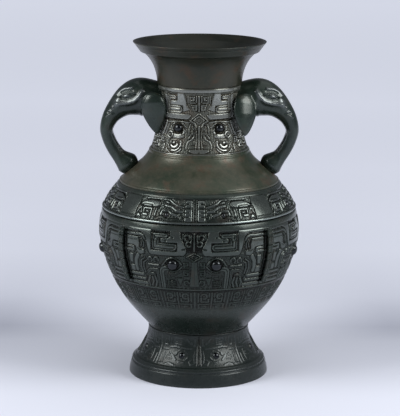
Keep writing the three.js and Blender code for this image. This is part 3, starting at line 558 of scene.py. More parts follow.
def bowl_relief(u, z):
    """Half a cell of the frieze under the belly's masks, u from 0 to 19.6."""
    s = Sheet(u, z, 1.6, 0.5, 0.8)
    s.line([(0, 98), (0, 120.5)], 0.75)
    s.line([(4.2, 119.6), (4.2, 107.6)], 0.7)
    s.line(arc(10.6, 115.4, 3.4, 180, -120), 0.85)
    s.line([(7.4, 114), (7.4, 107.8), (15.8, 107.8), (15.8, 112)])
    s.line([
        (18, 104.6), (4.4, 104.6), (4.4, 99.2), (13.4, 99.2), (13.4, 101.8), (8.6, 101.8),
    ], 0.8)
    s.line([(16.6, 119.4), (16.6, 114.6)], 0.7)
    s.line([(19.6, 99), (19.6, 120)], 0.75)
    # the figures fade out downwards into the plain bowl
    s.bounded(95.2, 121.4, plain=0, low_cut=0, high_cut=0.6, wear_and_light=0.7)
    fade = smooth((z - 95) / 6)
    s.h = np.where(z < 122, s.h * 0.7 * fade - 0.25 * fade, s.h)
    s.wear_and_light = np.where(z < 121, 0.7 + (s.wear_and_light - 0.7) * fade, s.wear_and_light)
    s.trench(z - BOWL_TOP, 0.8, 0.9)
    s.trench(z - 58.6, 0.7, 0.7)
    return s


def foot_relief(u, z):
    """Half a mask of the foot, u from 0 at its nose to 50."""
    s = Sheet(u, z, 1.5, 0.26, 0.86)
    # horn over a thin bar, with a boxed end
    s.line([(8, 42.4), (20, 42.2), (29, 43.4), (36, 42.4)], 0.75)
    s.cut([(7, 40.6), (22, 40.4), (36, 40.4)], 0.7, 0.9)
    s.plate([(20.6, 45.6), (20.6, 54.8), (31.6, 54.8), (31.6, 45.6)], -0.1)
    for height in (47.6, 49.8, 52):
        s.cut([(22.4, height), (30, height)], 0.45, 0.7)
    s.line([(4.6, 53.6), (4.6, 46), (9.4, 47.6), (14.6, 53.6)], 0.9)
    s.line([(8.4, 48.4), (9.4, 48.4)], 1.2)
    # lines beside the nose
    s.line([(4.4, 39.4), (5.6, 33), (4.4, 27), (8.6, 25), (10.6, 28.2), (8, 30.4)])
    # eye and cheek
    s.line([(12.4, 36), (16.4, 39.4), (23.4, 39.4), (27.4, 36)], 0.7)
    s.line([(12.4, 33), (15, 30), (21, 28.8), (26, 30)], 0.7)
    s.line([(26.4, 36.6), (34.4, 29.2)], 1.5)
    s.line([(27, 29.6), (35, 36.8)], 1.4)
    s.line([(16.6, 27.4), (22.4, 27.8)], 1)
    s.line([(27.5, 24.4), (33.6, 26), (37.6, 24.2)])
    s.line(arc(36.4, 31.6, 2.4, 120, -140), 0.7)
    # hooks at the corner
    s.line([(39.6, 54.6), (39.6, 44.6), (44.6, 44.6), (44.6, 50)])
    s.line([(35.6, 54), (35.6, 46)], 0.7)
    s.line([(41, 36.6), (41, 24.6), (46.6, 24.6), (46.6, 33)])
    s.line([(39, 39.6), (47, 39.6)], 0.7)
    s.line([(50, 24), (50, 54)])
    s.boss(20.2, 34.6, 3.2, 2, 0.8)
    s.bounded(22.4, 56, plain=0, low_cut=0.7, high_cut=0.4, wear_and_light=0.68)
    inside_band = smooth((z - 23) / 1.5) * smooth((55.6 - z) / 1.5)
    s.h -= 0.2 * inside_band
    nose = 1.7 * smooth((2.5 - np.abs(u)) / 0.6) * smooth((z - 23.6) / 2) * smooth((50.4 - z) / 14)
    nose -= 1.5 * bell(u, 0.75) * smooth((z - 23.6) / 2)
    s.wear_and_light = np.where(nose - 0.5 > s.h, 0.8, s.wear_and_light)
    s.h = np.maximum(s.h, nose - 0.5)
    s.trench(u, 0.75, 0.3, inside_band)
    s.h = np.where(z < 21.3, 0, s.h)
    s.wear_and_light = np.where(z < 21.3, 0.84, s.wear_and_light)
    return s


# Meshes


def patch(grid, flip=False):
    """Faces of four corners between the neighbours in a grid of point numbers."""
    corners = [grid[:-1, :-1], grid[:-1, 1:], grid[1:, 1:], grid[1:, :-1]]
    if flip:
        corners = corners[:1] + corners[:0:-1]
    return np.stack(corners, -1).reshape(-1, 4)


def closed(grid):
    """A grid with its first row once more after the last."""
    return np.vstack([grid, grid[:1]])


def new_object(name, data):
    made = bpy.data.objects.new(name, data)
    bpy.context.scene.collection.objects.link(made)
    return made


def rotation(degrees, axis, size=4):
    return Matrix.Rotation(math.radians(degrees), size, axis)


def paint(mesh, key, numbers):
    """Numbers of the mesh's points that the finishes read."""
    layer = mesh.attributes.new(key, "FLOAT", "POINT")
    layer.data.foreach_set("value", np.asarray(numbers, np.float32))


def mesh_object(name, points, faces, level=None, polish=None):
    """A smooth mesh from points in millimetres and lists of faces."""
    mesh = bpy.data.meshes.new(name)
    mesh.vertices.add(len(points))
    mesh.vertices.foreach_set("co", (np.asarray(points) * MM).astype(np.float32).ravel())
    loops = np.concatenate([f.ravel() for f in faces])
    sizes = np.concatenate([np.full(len(f), f.shape[1]) for f in faces])
    mesh.loops.add(len(loops))
    mesh.loops.foreach_set("vertex_index", loops.astype(np.int32))
    mesh.polygons.add(len(sizes))
    mesh.polygons.foreach_set("loop_start", (np.cumsum(sizes) - sizes).astype(np.int32))
    mesh.update(calc_edges=True)
    mesh.validate()
    mesh.shade_smooth()
    for key, numbers in (("relief", level), ("polish", polish)):
        if numbers is not None:
            paint(mesh, key, numbers)
    return new_object(name, mesh)


def revolve(name, outer, inner, heights, turn, span):
    """A closed ring, or a sector of one, from an outer outline that runs up and an inner one that
    runs down. heights are the relief, the wear with its painted light, and the polish of the outer
    face, a row for each point."""
    relief, wear_and_light, shine = heights
    whole = span == 360
    count = relief.shape[1]
    columns = count if whole else count - 1
    angles = np.radians(turn + np.arange(count) * span / columns - (0 if whole else span / 2))
    facing = normals(outer)
    r = np.vstack([outer[:, :1] + facing[:, :1] * relief, np.repeat(inner[:, :1], count, 1)])
    z = np.vstack([outer[:, 1:] + facing[:, 1:] * relief, np.repeat(inner[:, 1:], count, 1)])
    level = np.vstack([wear_and_light, np.full((len(inner), count), WEAR_SUNK)])
    polish = np.vstack([shine, np.zeros((len(inner), count))])
    points = np.stack([r * np.sin(angles), -r * np.cos(angles), z], -1).reshape(-1, 3)
    grid = np.arange(r.size).reshape(r.shape)
    if whole:
        faces = [patch(closed(closed(grid).T).T)]
    else:
        faces = [patch(closed(grid)), grid[None, :, 0], grid[None, ::-1, -1]]
    return mesh_object(name, points, faces, level.ravel(), polish.ravel())


def drawn(relief_of, u, outer):
    """Height, wear with its painted light, and polish of a relief at each point of the outline and
    each u.
    """
    sheet = relief_of(*np.meshgrid(u, outer[:, 1]))
    return np.stack([sheet.h, sheet.wear_and_light, sheet.polish])


def plain(outer):
    """A ring without relief."""
    return np.stack([np.full((len(outer), 288), level) for level in (0, WEAR_WHOLE, 0)])


def mirrored(relief_of, outer, columns, cells, radius):
    """The relief of a ring made of mirrored cells."""
    half = columns // cells // 2
    side = drawn(relief_of, np.arange(half + 1) * math.radians(360 / columns) * radius, outer)
    return np.tile(np.concatenate([side, side[:, :, -2:0:-1]], 2), (1, 1, cells))


def sector_relief(relief_of, outer, columns, span, radius):
    """The relief of one sector whose middle is the axis of a mirrored figure."""
    u = (np.arange(columns + 1) / columns - 0.5) * math.radians(span) * radius
    side = drawn(relief_of, np.abs(u[columns // 2 :]), outer)
    return np.concatenate([side[:, :, :0:-1], side], 2)


# Finishes

# In every finish: the colour and roughness of polished buttons, how much brighter bare metal, also
# used for painted highlights, is than a rubbed top, how much the surface reflects and how strong
# its grain is
POLISHED = (0.03, 0.033, 0.035)
POLISHED_ROUGH = 0.13
BARE_AND_HIGHLIGHT_GAIN = 2.7
SPECULAR = 0.32
GRAIN_STRENGTH = 0.35


class Finish:
    """A material and short ways to add nodes to it."""

    def __init__(self, name):
        self.material = bpy.data.materials.new(name)
        self.material.use_nodes = True
        self.tree = self.material.node_tree
        self.shader = self.tree.nodes["Principled BSDF"]

    def fill(self, node, inputs):
        """Links some of a node's inputs, or sets their values."""
        for key, value in inputs.items():
            socket = node.inputs[key]
            if isinstance(value, bpy.types.NodeSocket):
                self.tree.links.new(value, socket)
            elif isinstance(value, tuple):
                socket.default_value = (*value, 1)
            else:
                socket.default_value = value

    def add(self, kind, inputs):
        """A new node with its inputs filled in."""
        node = self.tree.nodes.new(kind)
        self.fill(node, inputs)
        return node

    def noise(self, place, scale, detail, roughness):
        inputs = {"Vector": place, "Scale": scale, "Detail": detail, "Roughness": roughness}
        return self.add("ShaderNodeTexNoise", inputs).outputs["Fac"]

    def ramp(self, factor, stops):
        """A colour that runs through some (position, colour) stops."""
        node = self.add("ShaderNodeValToRGB", {"Fac": factor})
        elements = node.color_ramp.elements
        while len(elements) < len(stops):
            elements.new(0.5)
        for element, (position, colour) in zip(elements, stops, strict=True):
            element.position = position
            element.color = (*colour, 1)
        return node.outputs["Color"]

    def mix(self, factor, a, b):
        node = self.add("ShaderNodeMix", {})
        node.data_type = "RGBA"
        self.fill(node, {0: factor, 6: a, 7: b})
        return node.outputs[2]

    def mapped(self, value, low, high, to_low, to_high):
        """A value stretched from one range to another, and kept in it."""
        ends = {"From Min": low, "From Max": high, "To Min": to_low, "To Max": to_high}
        return self.add("ShaderNodeMapRange", {"Value": value, **ends}).outputs["Result"]

    def attribute(self, name):
        node = self.add("ShaderNodeAttribute", {})
        node.attribute_name = name
        return node.outputs["Fac"]

    def calc(self, operation, a, b=0):
        node = self.add("ShaderNodeMath", {0: a, 1: b})
        node.operation = operation
        return node.outputs[0]

    def graph(self, value, points):
        """A number that follows straight lines through some (value, number) points."""
        low, high = points[0][0], points[-1][0]
        stops = [((at - low) / (high - low), (number,) * 3) for at, number in points]
        return self.ramp(self.mapped(value, low, high, 0, 1), stops)


def patina(name, dark, light, warm, rubbed, ground, rough, metal, top_metal, coat, grit):
    """Waxed dark bronze: cloudy colour, a darker ground, rubbed tops and a soft uneven gloss.
    metal and top_metal say how metallic whole and rubbed patina is, coat how much wax lies on it,
    and grit how deep its grain is in metres."""
    m = Finish(name)
    place = m.add("ShaderNodeTexCoord", {}).outputs["Object"]
    cloud = m.noise(place, 16, 5, 0.55)
    stain = m.noise(place, 55, 5, 0.6)
    spots = m.noise(place, 190, 4, 0.6)
    grain = m.noise(place, 420, 5, 0.65)
    colour = m.ramp(cloud, [(0.38, dark), (0.6, light)])
    colour = m.mix(m.mapped(stain, 0.54, 0.68, 0, 0.6), colour, warm)
    colour = m.mix(m.mapped(stain, 0.32, 0.46, 0.7, 0), colour, dark)
    colour = m.mix(m.mapped(spots, 0.48, 0.68, 0, 0.5), colour, light)
    # ground and cuts, then rubbed tops, then bare metal, which also holds painted highlights; the
    # relief level also carries painted shade
    level = m.attribute("relief")
    polish = m.attribute("polish")
    bare_and_highlight = tuple(BARE_AND_HIGHLIGHT_GAIN * number for number in rubbed)
    colour = m.mix(m.mapped(level, 0.1, 0.7, 0.95, 0), colour, ground)
    colour = m.mix(m.mapped(level, 0.78, 0.96, 0, 1), colour, rubbed)
    colour = m.mix(m.mapped(level, 0.96, 1.1, 0, 1), colour, bare_and_highlight)
    colour = m.mix(m.mapped(grain, 0.35, 0.7, 0.25, 0), colour, ground)
    colour = m.mix(polish, colour, POLISHED)
    metallic = [(0, 1), (0.1, 1), (0.5, metal), (0.78, metal), (0.95, top_metal), (1, top_metal)]
    shine = m.calc("MAXIMUM", m.graph(level, metallic), polish)
    gloss = m.mapped(stain, 0.3, 0.7, rough - 0.05, rough + 0.07)
    gloss = m.calc("SUBTRACT", gloss, m.mapped(level, WEAR_WHOLE, 1, 0, 0.1))
    smoother = m.calc("MULTIPLY", polish, rough - POLISHED_ROUGH)
    gloss = m.calc("SUBTRACT", gloss, smoother)
    bump = {"Strength": GRAIN_STRENGTH, "Distance": grit, "Height": grain}
    m.fill(m.shader, {
        "Base Color": colour,
        "Metallic": shine,
        "Roughness": gloss,
        "Specular IOR Level": SPECULAR,
        "Coat Weight": coat,
        "Coat Roughness": rough * 0.75,
        "Normal": m.add("ShaderNodeBump", bump).outputs["Normal"],
    })
    return m.material


# For each finish: dark, light and warm patina, rubbed tops and ground, then roughness, how metallic
# whole and rubbed patina is, wax and grit
PATINAS = {
    "plain_bronze": (
        (0.011, 0.018, 0.011), (0.032, 0.031, 0.02), (0.058, 0.029, 0.012),
        (0.07, 0.07, 0.062), (0.012, 0.012, 0.01), 0.36, 0.3, 0.4, 0.1, 0.00012,
    ),
    "shoulder_bronze": (
        (0.026, 0.042, 0.025), (0.082, 0.078, 0.054), (0.092, 0.05, 0.03),
        (0.07, 0.07, 0.062), (0.012, 0.012, 0.01), 0.33, 0.35, 0.4, 0.15, 0.00012,
    ),
    "relief_bronze": (
        (0.013, 0.024, 0.018), (0.031, 0.04, 0.033), (0.04, 0.031, 0.021),
        (0.112, 0.129, 0.119), (0.006, 0.006, 0.005), 0.26, 0.4, 0.85, 0.12, 0.0002,
    ),
    "foot_bronze": (
        (0.005, 0.01, 0.008), (0.012, 0.018, 0.015), (0.018, 0.015, 0.01),
        (0.07, 0.08, 0.082), (0.004, 0.005, 0.005), 0.31, 0.22, 0.6, 0.04, 0.0004,
    ),
    "neck_bronze": (
        (0.038, 0.048, 0.036), (0.096, 0.102, 0.085), (0.09, 0.064, 0.042),
        (0.205, 0.217, 0.2), (0.026, 0.023, 0.016), 0.29, 0.4, 0.72, 0.12, 0.0002,
    ),
    "handle_bronze": (
        (0.006, 0.014, 0.011), (0.017, 0.03, 0.021), (0.026, 0.025, 0.014),
        (0.055, 0.064, 0.063), (0.006, 0.008, 0.008), 0.29, 0.35, 0.5, 0.4, 0.0001,
    ),
    "inner_bronze": (
        (0.03, 0.029, 0.022), (0.048, 0.043, 0.032), (0.055, 0.035, 0.022),
        (0.06, 0.056, 0.044), (0.015, 0.014, 0.011), 0.5, 0.3, 0.3, 0.05, 0.00012,
    ),
}
finishes = {name: patina(name, *numbers) for name, numbers in PATINAS.items()}


def dress(piece, finish):
    piece.data.materials.clear()
    piece.data.materials.append(finishes[finish])


def finish_piece(piece, finish, node):
    """Gives a piece its finish, hangs it under the root and hides the node that it takes the place
    of.
    """
    dress(piece, finish)
    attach(piece, "root")
    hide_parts(node)


# Rings


def make_ring(node, finish, outer, inner, relief, turn=0, sides=("",)):
    """A ring in place of a node, or one sector of it for each side."""
    span = 360 / len(sides)
    for number, side in enumerate(sides):
        name = f"{node}_cast{side}"
        piece = revolve(name, outer, inner, relief, turn + span * number, span)
        finish_piece(piece, finish, node)


def make_foot():
    base = np.array([
        (82.9, 0), (83.5, 0.6), (83.4, 3), (82.6, 7), (81.2, 12.6), (80.7, 14.6), (80.1, 15.2),
        (79, 15.7), (79.1, 16.3), (79.9, 17), (79.6, 18.4), (78.2, 19.3), (76.7, 20.1),
        (75.5, 21.4),
    ])
    outer = np.vstack([spaced(base, 0.8), spaced(foot_curve, 0.58)[1:]])
    hollow = inset(foot_curve, 6)
    hollow = hollow[(hollow[:, 0] < 70) & (hollow[:, 1] > 23) & (hollow[:, 1] < 53)]
    socket = [(57.9, WAIST_TOP), (57.9, 53.8)]
    recess = [(70.4, 21.4), (70.4, 14), (75.2, 14), (75.2, 0)]
    inner = np.vstack([socket, hollow, recess])
    relief = mirrored(foot_relief, outer, 720, 4, FOOT_RADIUS)
    make_ring("foot", "foot_bronze", outer, inner, relief, FOOT_TURN)


def make_bowl():
    # the plain part under the frieze needs fewer rows
    frieze = bowl_curve[:, 1] >= 95.5
    outer = np.vstack([spaced(bowl_curve[~frieze], 1.1), spaced(bowl_curve[frieze], 0.6)])
    inner = inset(bowl_curve[4:], 12)
    relief = mirrored(bowl_relief, outer, 864, 16, BOWL_RADIUS)
    make_ring("lower_belly", "relief_bronze", outer, inner, relief, BELLY_TURN)


def make_belly():
    outer = spaced(belly_curve, 0.56)
    relief = sector_relief(belly_relief, outer, 360, 90, BELLY_RADIUS)
    sides = ("_front", "_right", "_back", "_left")
    make_ring("belly", "relief_bronze", outer, inset(belly_curve, 10), relief, BELLY_TURN, sides)


def make_band():
    outer = spaced(band_curve, 0.62)
    relief = mirrored(band_relief, outer, 1080, 4, BAND_RADIUS)
    make_ring("shoulder_band", "relief_bronze", outer, inset(band_curve, 6), relief, BAND_TURN)


def make_shoulder():
    outer = spaced(shoulder_curve, 0.8)
    z = outer[:, 1]
    rise = moulding(z, 235.5, 1.7, 0.8) - 0.8 * bell(z - 234.2, 0.45)
    rise -= 0.25 * bell(z - 236.9, 0.4)
    rise += 0.35 * smooth((z - 270.6) / 0.8) - 0.5 * bell(z - 269.8, 0.5)
    outer = outer + normals(outer) * rise[:, None]
    make_ring("shoulder", "shoulder_bronze", outer, inset(shoulder_curve, 10), plain(outer))


def make_neck():
    outer = spaced(neck_curve, 0.52)
    relief = sector_relief(neck_relief, outer, 300, 180, NECK_RADIUS)
    sides = ("_front", "_back")
    make_ring("neck", "neck_bronze", outer, inset(neck_curve, 14), relief, NECK_TURN, sides)


def make_mouth():
    lip = np.array([
        (64.8, 385.8), (66.6, 387.2), (69.6, 388.1), (70.6, 388.7), (71.1, 389.6), (75.4, 395.2),
        (75.6, 395.9), (76.1, 396.2), (78.6, 399.2), (78.8, 399.8), (78.3, MOUTH_TOP),
    ])
    rim = np.array([
        (77.2, MOUTH_TOP), (76.3, 399.7), (75.4, 399), (72.6, 395.4), (69.6, 392.2), (66, 389.6),
    ])
    outer = np.vstack([spaced(throat_curve, 0.9), spaced(lip, 0.45)[1:]])
    throat = inset(throat_curve, 26)
    inner = np.vstack([spaced(rim, 0.7), throat[throat[:, 1] < 386]])
    make_ring("mouth_rim", "plain_bronze", outer, inner, plain(outer))


def make_flanges():
    """Notched ribs that hide the corners between the belly's masks."""
    bottom, length, width, rise, notches = 130.0, 63.0, 6.5, 4.0, 7
    z = np.linspace(bottom, bottom + length, 220)
    r = np.interp(z, belly_curve[:, 1], belly_curve[:, 0])
    line = np.stack([r, z], -1)
    facing = normals(line)
    along = z - bottom
    pitch = length / notches
    cut = bell((along + pitch / 2) % pitch - pitch / 2, 0.55)
    half_cut = bell(along % pitch - pitch / 2, 0.4)
    ends = smooth(along / 1.2) * smooth((length - along) / 1.2)
    height = (rise - 1.3 * cut - 0.5 * half_cut) * ends + 0.2
    half = width / 2 * (0.72 + 0.28 * ends) - 0.45 * cut
    # the rib's section, as shares of its half width and of its height
    section = [
        (-1, -1), (-1, 0.55), (-0.96, 0.86), (-0.84, 0.98), (-0.45, 1), (-0.3, 0.82),
        (0.3, 0.82), (0.45, 1), (0.84, 0.98), (0.96, 0.86), (1, 0.55), (1, -1),
    ]
    grid = np.arange(len(section) * len(z)).reshape(len(section), len(z))
    faces = [patch(closed(grid), flip=True), grid[None, ::-1, 0], grid[None, :, -1]]
    for number in range(4):
        turn = math.radians(BELLY_TURN + 45 + 90 * number)
        across = np.array([math.cos(turn), math.sin(turn)])
        out = np.array([math.sin(turn), -math.cos(turn)])
        points, level = [], []
        for side, up in section:
            lift = np.where(up > 0, height * up, -1.5)
            reach = line[:, 0] + facing[:, 0] * lift
            xy = reach[:, None] * out + (side * half)[:, None] * across
            points.append(np.column_stack([xy, line[:, 1] + facing[:, 1] * lift]))
            level.append(np.clip(WEAR_SUNK + lift / rise * 0.42 - cut * 0.5, 0, 1))
        name = f"rib_{number + 1}"
        piece = mesh_object(name, np.vstack(points), faces, np.concatenate(level))
        finish_piece(piece, "relief_bronze", f"flange_{number + 1}")


# Elephant handles


def through(points, steps):
    """A smooth curve through points, as a centripetal spline, with steps to each stretch."""
    points = np.array(points, float)
    points = np.vstack([2 * points[0] - points[1], points, 2 * points[-1] - points[-2]])
    result = []
    t = np.linspace(0, 1, steps, endpoint=False)[:, None]
    for p0, p1, p2, p3 in zip(points, points[1:], points[2:], points[3:], strict=False):
        ends = ((p0, p1), (p1, p2), (p2, p3))
        d0, d1, d2 = (max(np.linalg.norm(b - a) ** 0.5, 1e-4) for a, b in ends)
        m1 = ((p1 - p0) / d0 - (p2 - p0) / (d0 + d1) + (p2 - p1) / d1) * d1
        m2 = ((p2 - p1) / d1 - (p3 - p1) / (d1 + d2) + (p3 - p2) / d2) * d1
        cubic = (2 * p1 - 2 * p2 + m1 + m2) * t**3
        result.append(cubic + (3 * p2 - 3 * p1 - 2 * m1 - m2) * t**2 + m1 * t + p1)
    return np.vstack(result + [points[-2][None]])


# Stations of the right handle: middle x and z, half depth in the XZ plane, half width along Y
STATIONS = [
    (40, 325, 21.5, 24),
    (59.9, 332.4, 22, 24.5),
    (71.8, 333.2, 22.7, 23),
    (83.4, 329.3, 19.6, 20),
    (95.1, 321.3, 14, 16),
    (105.6, 308.5, 9.8, 12),
    (109.8, 294.7, 8.1, 10),
    (106.5, 282, 8.1, 9.2),
    (101.1, 271.5, 8.4, 9.2),
    (94.5, 262.5, 9.3, 9.5),
    (86.3, 254.5, 13.6, 13.2),
]


def head_tube():
    """Head and trunk as one tube, with low ridges along the trunk's inner corners."""
    data = through(STATIONS, 26)
    middle, size = data[:, :2], data[:, 2:]
    run = np.gradient(middle, axis=0)
    run /= np.linalg.norm(run, axis=1)[:, None]
    last, last_run, last_size = middle[-1], run[-1], size[-1]
    # the domed end of the tip
    for turn in np.radians([12, 24, 36, 48, 60, 72, 82]):
        middle = np.vstack([middle, last + last_run * last_size[0] * math.sin(turn)])
        run = np.vstack([run, last_run])
        size = np.vstack([size, last_size * math.cos(turn)])
    sides = 96
    angle = np.arange(sides) * 2 * np.pi / sides
    share = np.linspace(0, 1, len(middle))[:, None]
    on_trunk = smooth((share - 0.5) / 0.12) * smooth((0.9 - share) / 0.06)
    inner = np.abs(np.degrees(angle)[None] - 180)
    ridge = on_trunk * (bell(inner - 44, 9) - 0.8 * bell(inner, 22))
    across = np.stack([-run[:, 1], run[:, 0]], -1)
    deep = size[:, :1] * np.cos(angle) + ridge * np.cos(angle)
    wide = size[:, 1:] * np.sin(angle) + ridge * np.sin(angle)
    x = middle[:, :1] + across[:, :1] * deep
    z = middle[:, 1:] + across[:, 1:] * deep
    points = np.stack([x, wide, z], -1).reshape(-1, 3)
    grid = np.arange(x.size).reshape(x.shape)
    return points, [patch(closed(grid.T).T, flip=True), grid[0][None], grid[-1][None, ::-1]]


# Half outline of an ear in its own plane: height above its widest place, reach forward, reach back
EAR = [
    (17, 1, 1), (16.2, 5, 4.6), (14, 9.4, 8.6), (10.5, 12.6, 11.8), (6, 14.9, 14.1),
    (0, 15.9, 15.1), (-6, 15.4, 14.7), (-12, 13.7, 13.2), (-18, 11.2, 10.8),
    (-23, 8.8, 7.9), (-27.5, 6.1, 5), (-31, 3.4, 2.8), (-33, 0.8, 0.8),
]
# How each ear of the right handle lies: turned outwards, tilted back, its height and its dome
EAR_LIES = {1: (12, -4, 326.4, 6.8), -1: (30, 12, 325, 5.2)}
# How far both lean along the head, and where their middle is
EAR_LEAN = 6.5
EAR_X = 53.1
EAR_Y = 29.5


def ear(side):
    """A leaf-shaped ear, domed outside, with a raised rim along its front edge."""
    turned, tilted, middle, rise = EAR_LIES[side]
    table = np.array(EAR)
    height = np.linspace(table[0, 0], table[-1, 0], 90)
    forward = np.interp(height, table[::-1, 0], table[::-1, 1])
    back = np.interp(height, table[::-1, 0], table[::-1, 2])
    share = np.sin(np.linspace(-np.pi / 2, np.pi / 2, 61))
    across = np.where(share > 0, share * forward[:, None], share * back[:, None])
    tall = np.repeat(height[:, None], len(share), 1)
    dome = np.sqrt(np.clip(1 - share**2, 0, 1))[None] * np.clip(forward / 15, 0.15, 1)[:, None]
    upper = smooth((height + 8) / 12)[:, None]
    face = rise * dome + upper * (0.9 * bell(share - 0.9, 0.06) - 0.6 * bell(share - 0.76, 0.07))
    outside = np.stack([across, face * side, tall], -1)
    back_face = np.stack([across, -3.4 * dome * side, tall], -1)
    points = np.vstack([outside.reshape(-1, 3), back_face.reshape(-1, 3)])
    grid = np.arange(tall.size).reshape(tall.shape)
    edge = np.r_[grid[0, :-1], grid[:-1, -1], grid[-1, :0:-1], grid[:0:-1, 0]]
    between = closed(np.stack([edge, edge + tall.size], -1))
    faces = [patch(grid, flip=True), patch(grid + tall.size), patch(between, flip=True)]
    turn = rotation(-turned * side, "Z", 3) @ rotation(tilted * side, "X", 3)
    turn = np.array(turn @ rotation(EAR_LEAN, "Y", 3))
    placed = points @ turn.T + (EAR_X, EAR_Y * side, middle)
    if side > 0:
        return placed, faces
    return placed, [f[:, ::-1] for f in faces]


def merged(parts):
    """Several shapes as one list of points and faces."""
    points, faces, start = [], [], 0
    for part_points, part_faces in parts:
        points.append(part_points)
        faces += [f + start for f in part_faces]
        start += len(part_points)
    return np.vstack(points), faces


def remeshed(piece, voxel, rounds):
    """One even skin over all that the piece holds, then smoothed a little."""
    bpy.context.view_layer.objects.active = piece
    shell = piece.modifiers.new("skin", "REMESH")
    shell.mode = "VOXEL"
    shell.voxel_size = voxel * MM
    soft = piece.modifiers.new("soft", "SMOOTH")
    soft.factor = 0.5
    soft.iterations = rounds
    shaped = piece.evaluated_get(bpy.context.evaluated_depsgraph_get())
    shaped = bpy.data.meshes.new_from_object(shaped)
    piece.modifiers.clear()
    piece.data = shaped


# The eye's middle, x and z, its half length and half height, and how it leans
EYE_X = 85.6
EYE_Z = 337.2
EYE_LONG = 4.6
EYE_HIGH = 1.9
EYE_LEAN = -19

# Ridges of the head and, with a rise below 0, furrows: width, rise and path from the side
HEAD_LINES = [
    # lids
    (0.8, -1.1, (75, 339.4), (81.3, 340.2), (87.4, 339.8), (93.2, 335.4)),
    (0.8, -1.1, (75, 339.2), (78.3, 336.2), (84.4, 334), (90.8, 333.9), (93.2, 335.4)),
    # brow
    (1.3, 1.2, (78.6, 346.2), (87, 345), (92.2, 342.2), (97.2, 337.6)),
    (0.9, -0.6, (79, 343.2), (86.5, 342.6), (91.5, 340.2)),
    # fold from the ear's root round under the eye to the trunk
    (2.2, 1.7, (66.7, 343.4), (68.2, 341.2), (71.4, 336.3), (76.8, 331.2), (83.7, 328.8),
     (90.6, 328), (96.5, 326.6)),
    (2.4, -0.7, (70, 329.6), (77, 325.2), (86, 322.8), (94, 321.4)),
    # folds at the root of the trunk
    (0.9, 0.9, (102.4, 317.2), (106.8, 318.8)),
    (0.7, -0.8, (99.4, 315.8), (103.2, 315), (107.8, 316.2)),
    (1, 0.7, (103, 314), (106, 313.8), (109.8, 311.2)),
    # crease along the trunk's inner side
    (0.8, 0.8, (104, 292.4), (102.9, 287.6), (100.7, 282.5), (96.9, 274.7), (92.8, 269)),
    (0.7, -0.8, (102.2, 290.4), (100.8, 285.6), (98.5, 280.6), (94.8, 273.8), (90.9, 268.6)),
]
# Swellings at the end of the fold: x, z, radius and rise
HEAD_SWELLINGS = [(97.6, 328.6, 4.6, 1.3), (95.8, 333.2, 2.6, 0.5), (102, 322.4, 3, 0.7)]


def sculpt(points, facing):
    """How far each point of the right-hand head moves out, from its place seen from the side."""
    x, z = points[:, 0], points[:, 2]
    side = smooth((np.abs(facing[:, 1]) - 0.25) / 0.35) * smooth((np.abs(points[:, 1]) - 3) / 4)
    # eye, a narrow leaf with a low ball in it
    lean = math.radians(EYE_LEAN)
    a = (x - EYE_X) * math.cos(lean) + (z - EYE_Z) * math.sin(lean)
    b = -(x - EYE_X) * math.sin(lean) + (z - EYE_Z) * math.cos(lean)
    move = 1.3 * np.sqrt(np.clip(1 - (a / EYE_LONG) ** 2 - (b / EYE_HIGH) ** 2, 0, 1))
    for width, rise, *path in HEAD_LINES:
        move += rise * bell(distance(x, z, path), width)
    for at_x, at_z, radius, rise in HEAD_SWELLINGS:
        move += rise * bell(np.hypot(x - at_x, z - at_z), radius)
    return move * side


def trimmed(points):
    """Keeps the handle out of the vessel: what would be inside lies just under the surface."""
    under = 2.2
    before = np.hypot(points[:, 0], points[:, 1])
    r, z = before, points[:, 2]
    for _ in range(3):
        slope = vessel_radius(z + 0.5) - vessel_radius(z - 0.5)
        push = np.clip(vessel_radius(z) - under - r, 0, None) / (1 + slope**2)
        r = r + push
        z = z - push * slope
    scale = r / np.maximum(before, 1e-6)
    return np.column_stack([points[:, 0] * scale, points[:, 1] * scale, z])


def make_handles():
    points, faces = merged([head_tube(), ear(1), ear(-1)])
    right = mesh_object("handle_right_cast", points, faces)
    remeshed(right, voxel=0.62, rounds=3)
    mesh = right.data
    count = len(mesh.vertices)
    place, facing = np.empty(count * 3, np.float32), np.empty(count * 3, np.float32)
    mesh.vertices.foreach_get("co", place)
    mesh.vertices.foreach_get("normal", facing)
    place, facing = place.reshape(-1, 3) / MM, facing.reshape(-1, 3)
    on_ear = smooth((np.abs(place[:, 1]) - 24.5) / 2.5)
    move = sculpt(place, facing) * (1 - on_ear)
    shaped = trimmed(place + facing * move[:, None])
    mesh.vertices.foreach_set("co", (shaped * MM).astype(np.float32).ravel())
    paint(mesh, "relief", np.clip(WEAR_WHOLE + move * 0.25, 0.2, 1))
    mesh.shade_smooth()
    mesh.update()
    left = new_object("handle_left_cast", mesh.copy())
    left.data.transform(rotation(180, "Z"))
    finish_piece(right, "handle_bronze", "handle_right")
    finish_piece(left, "handle_bronze", "handle_left")


make_foot()
make_bowl()
make_belly()
make_band()
make_shoulder()
make_neck()
make_mouth()
make_flanges()
make_handles()

for name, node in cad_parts.items():
    if name.startswith("pin_") or name == "base_plate":
        dress(node, "inner_bronze")


# Stage

FLOOR_HALF = 9000
FLOOR_PALE = (0.715, 0.74, 0.83)
FLOOR_SHADE = (0.4, 0.42, 0.5)
# Painted shade on the floor: metres behind the object and to its side, with the share of the darker
# colour at each
SHADE_BEHIND = [(0, 0), (0.13, 0.38), (0.2, 1), (0.36, 0.45), (0.65, 0)]
SHADE_ASIDE = [(0.06, 0), (0.17, 0.35), (0.25, 0.75), (0.5, 1)]
# Metres away and the strength of the paper's glow there
GLOW = [(0.4, 0), (0.5, 0.05), (0.95, 0.29), (1.4, 0.45), (2.25, 0.62), (4.6, 0.73)]


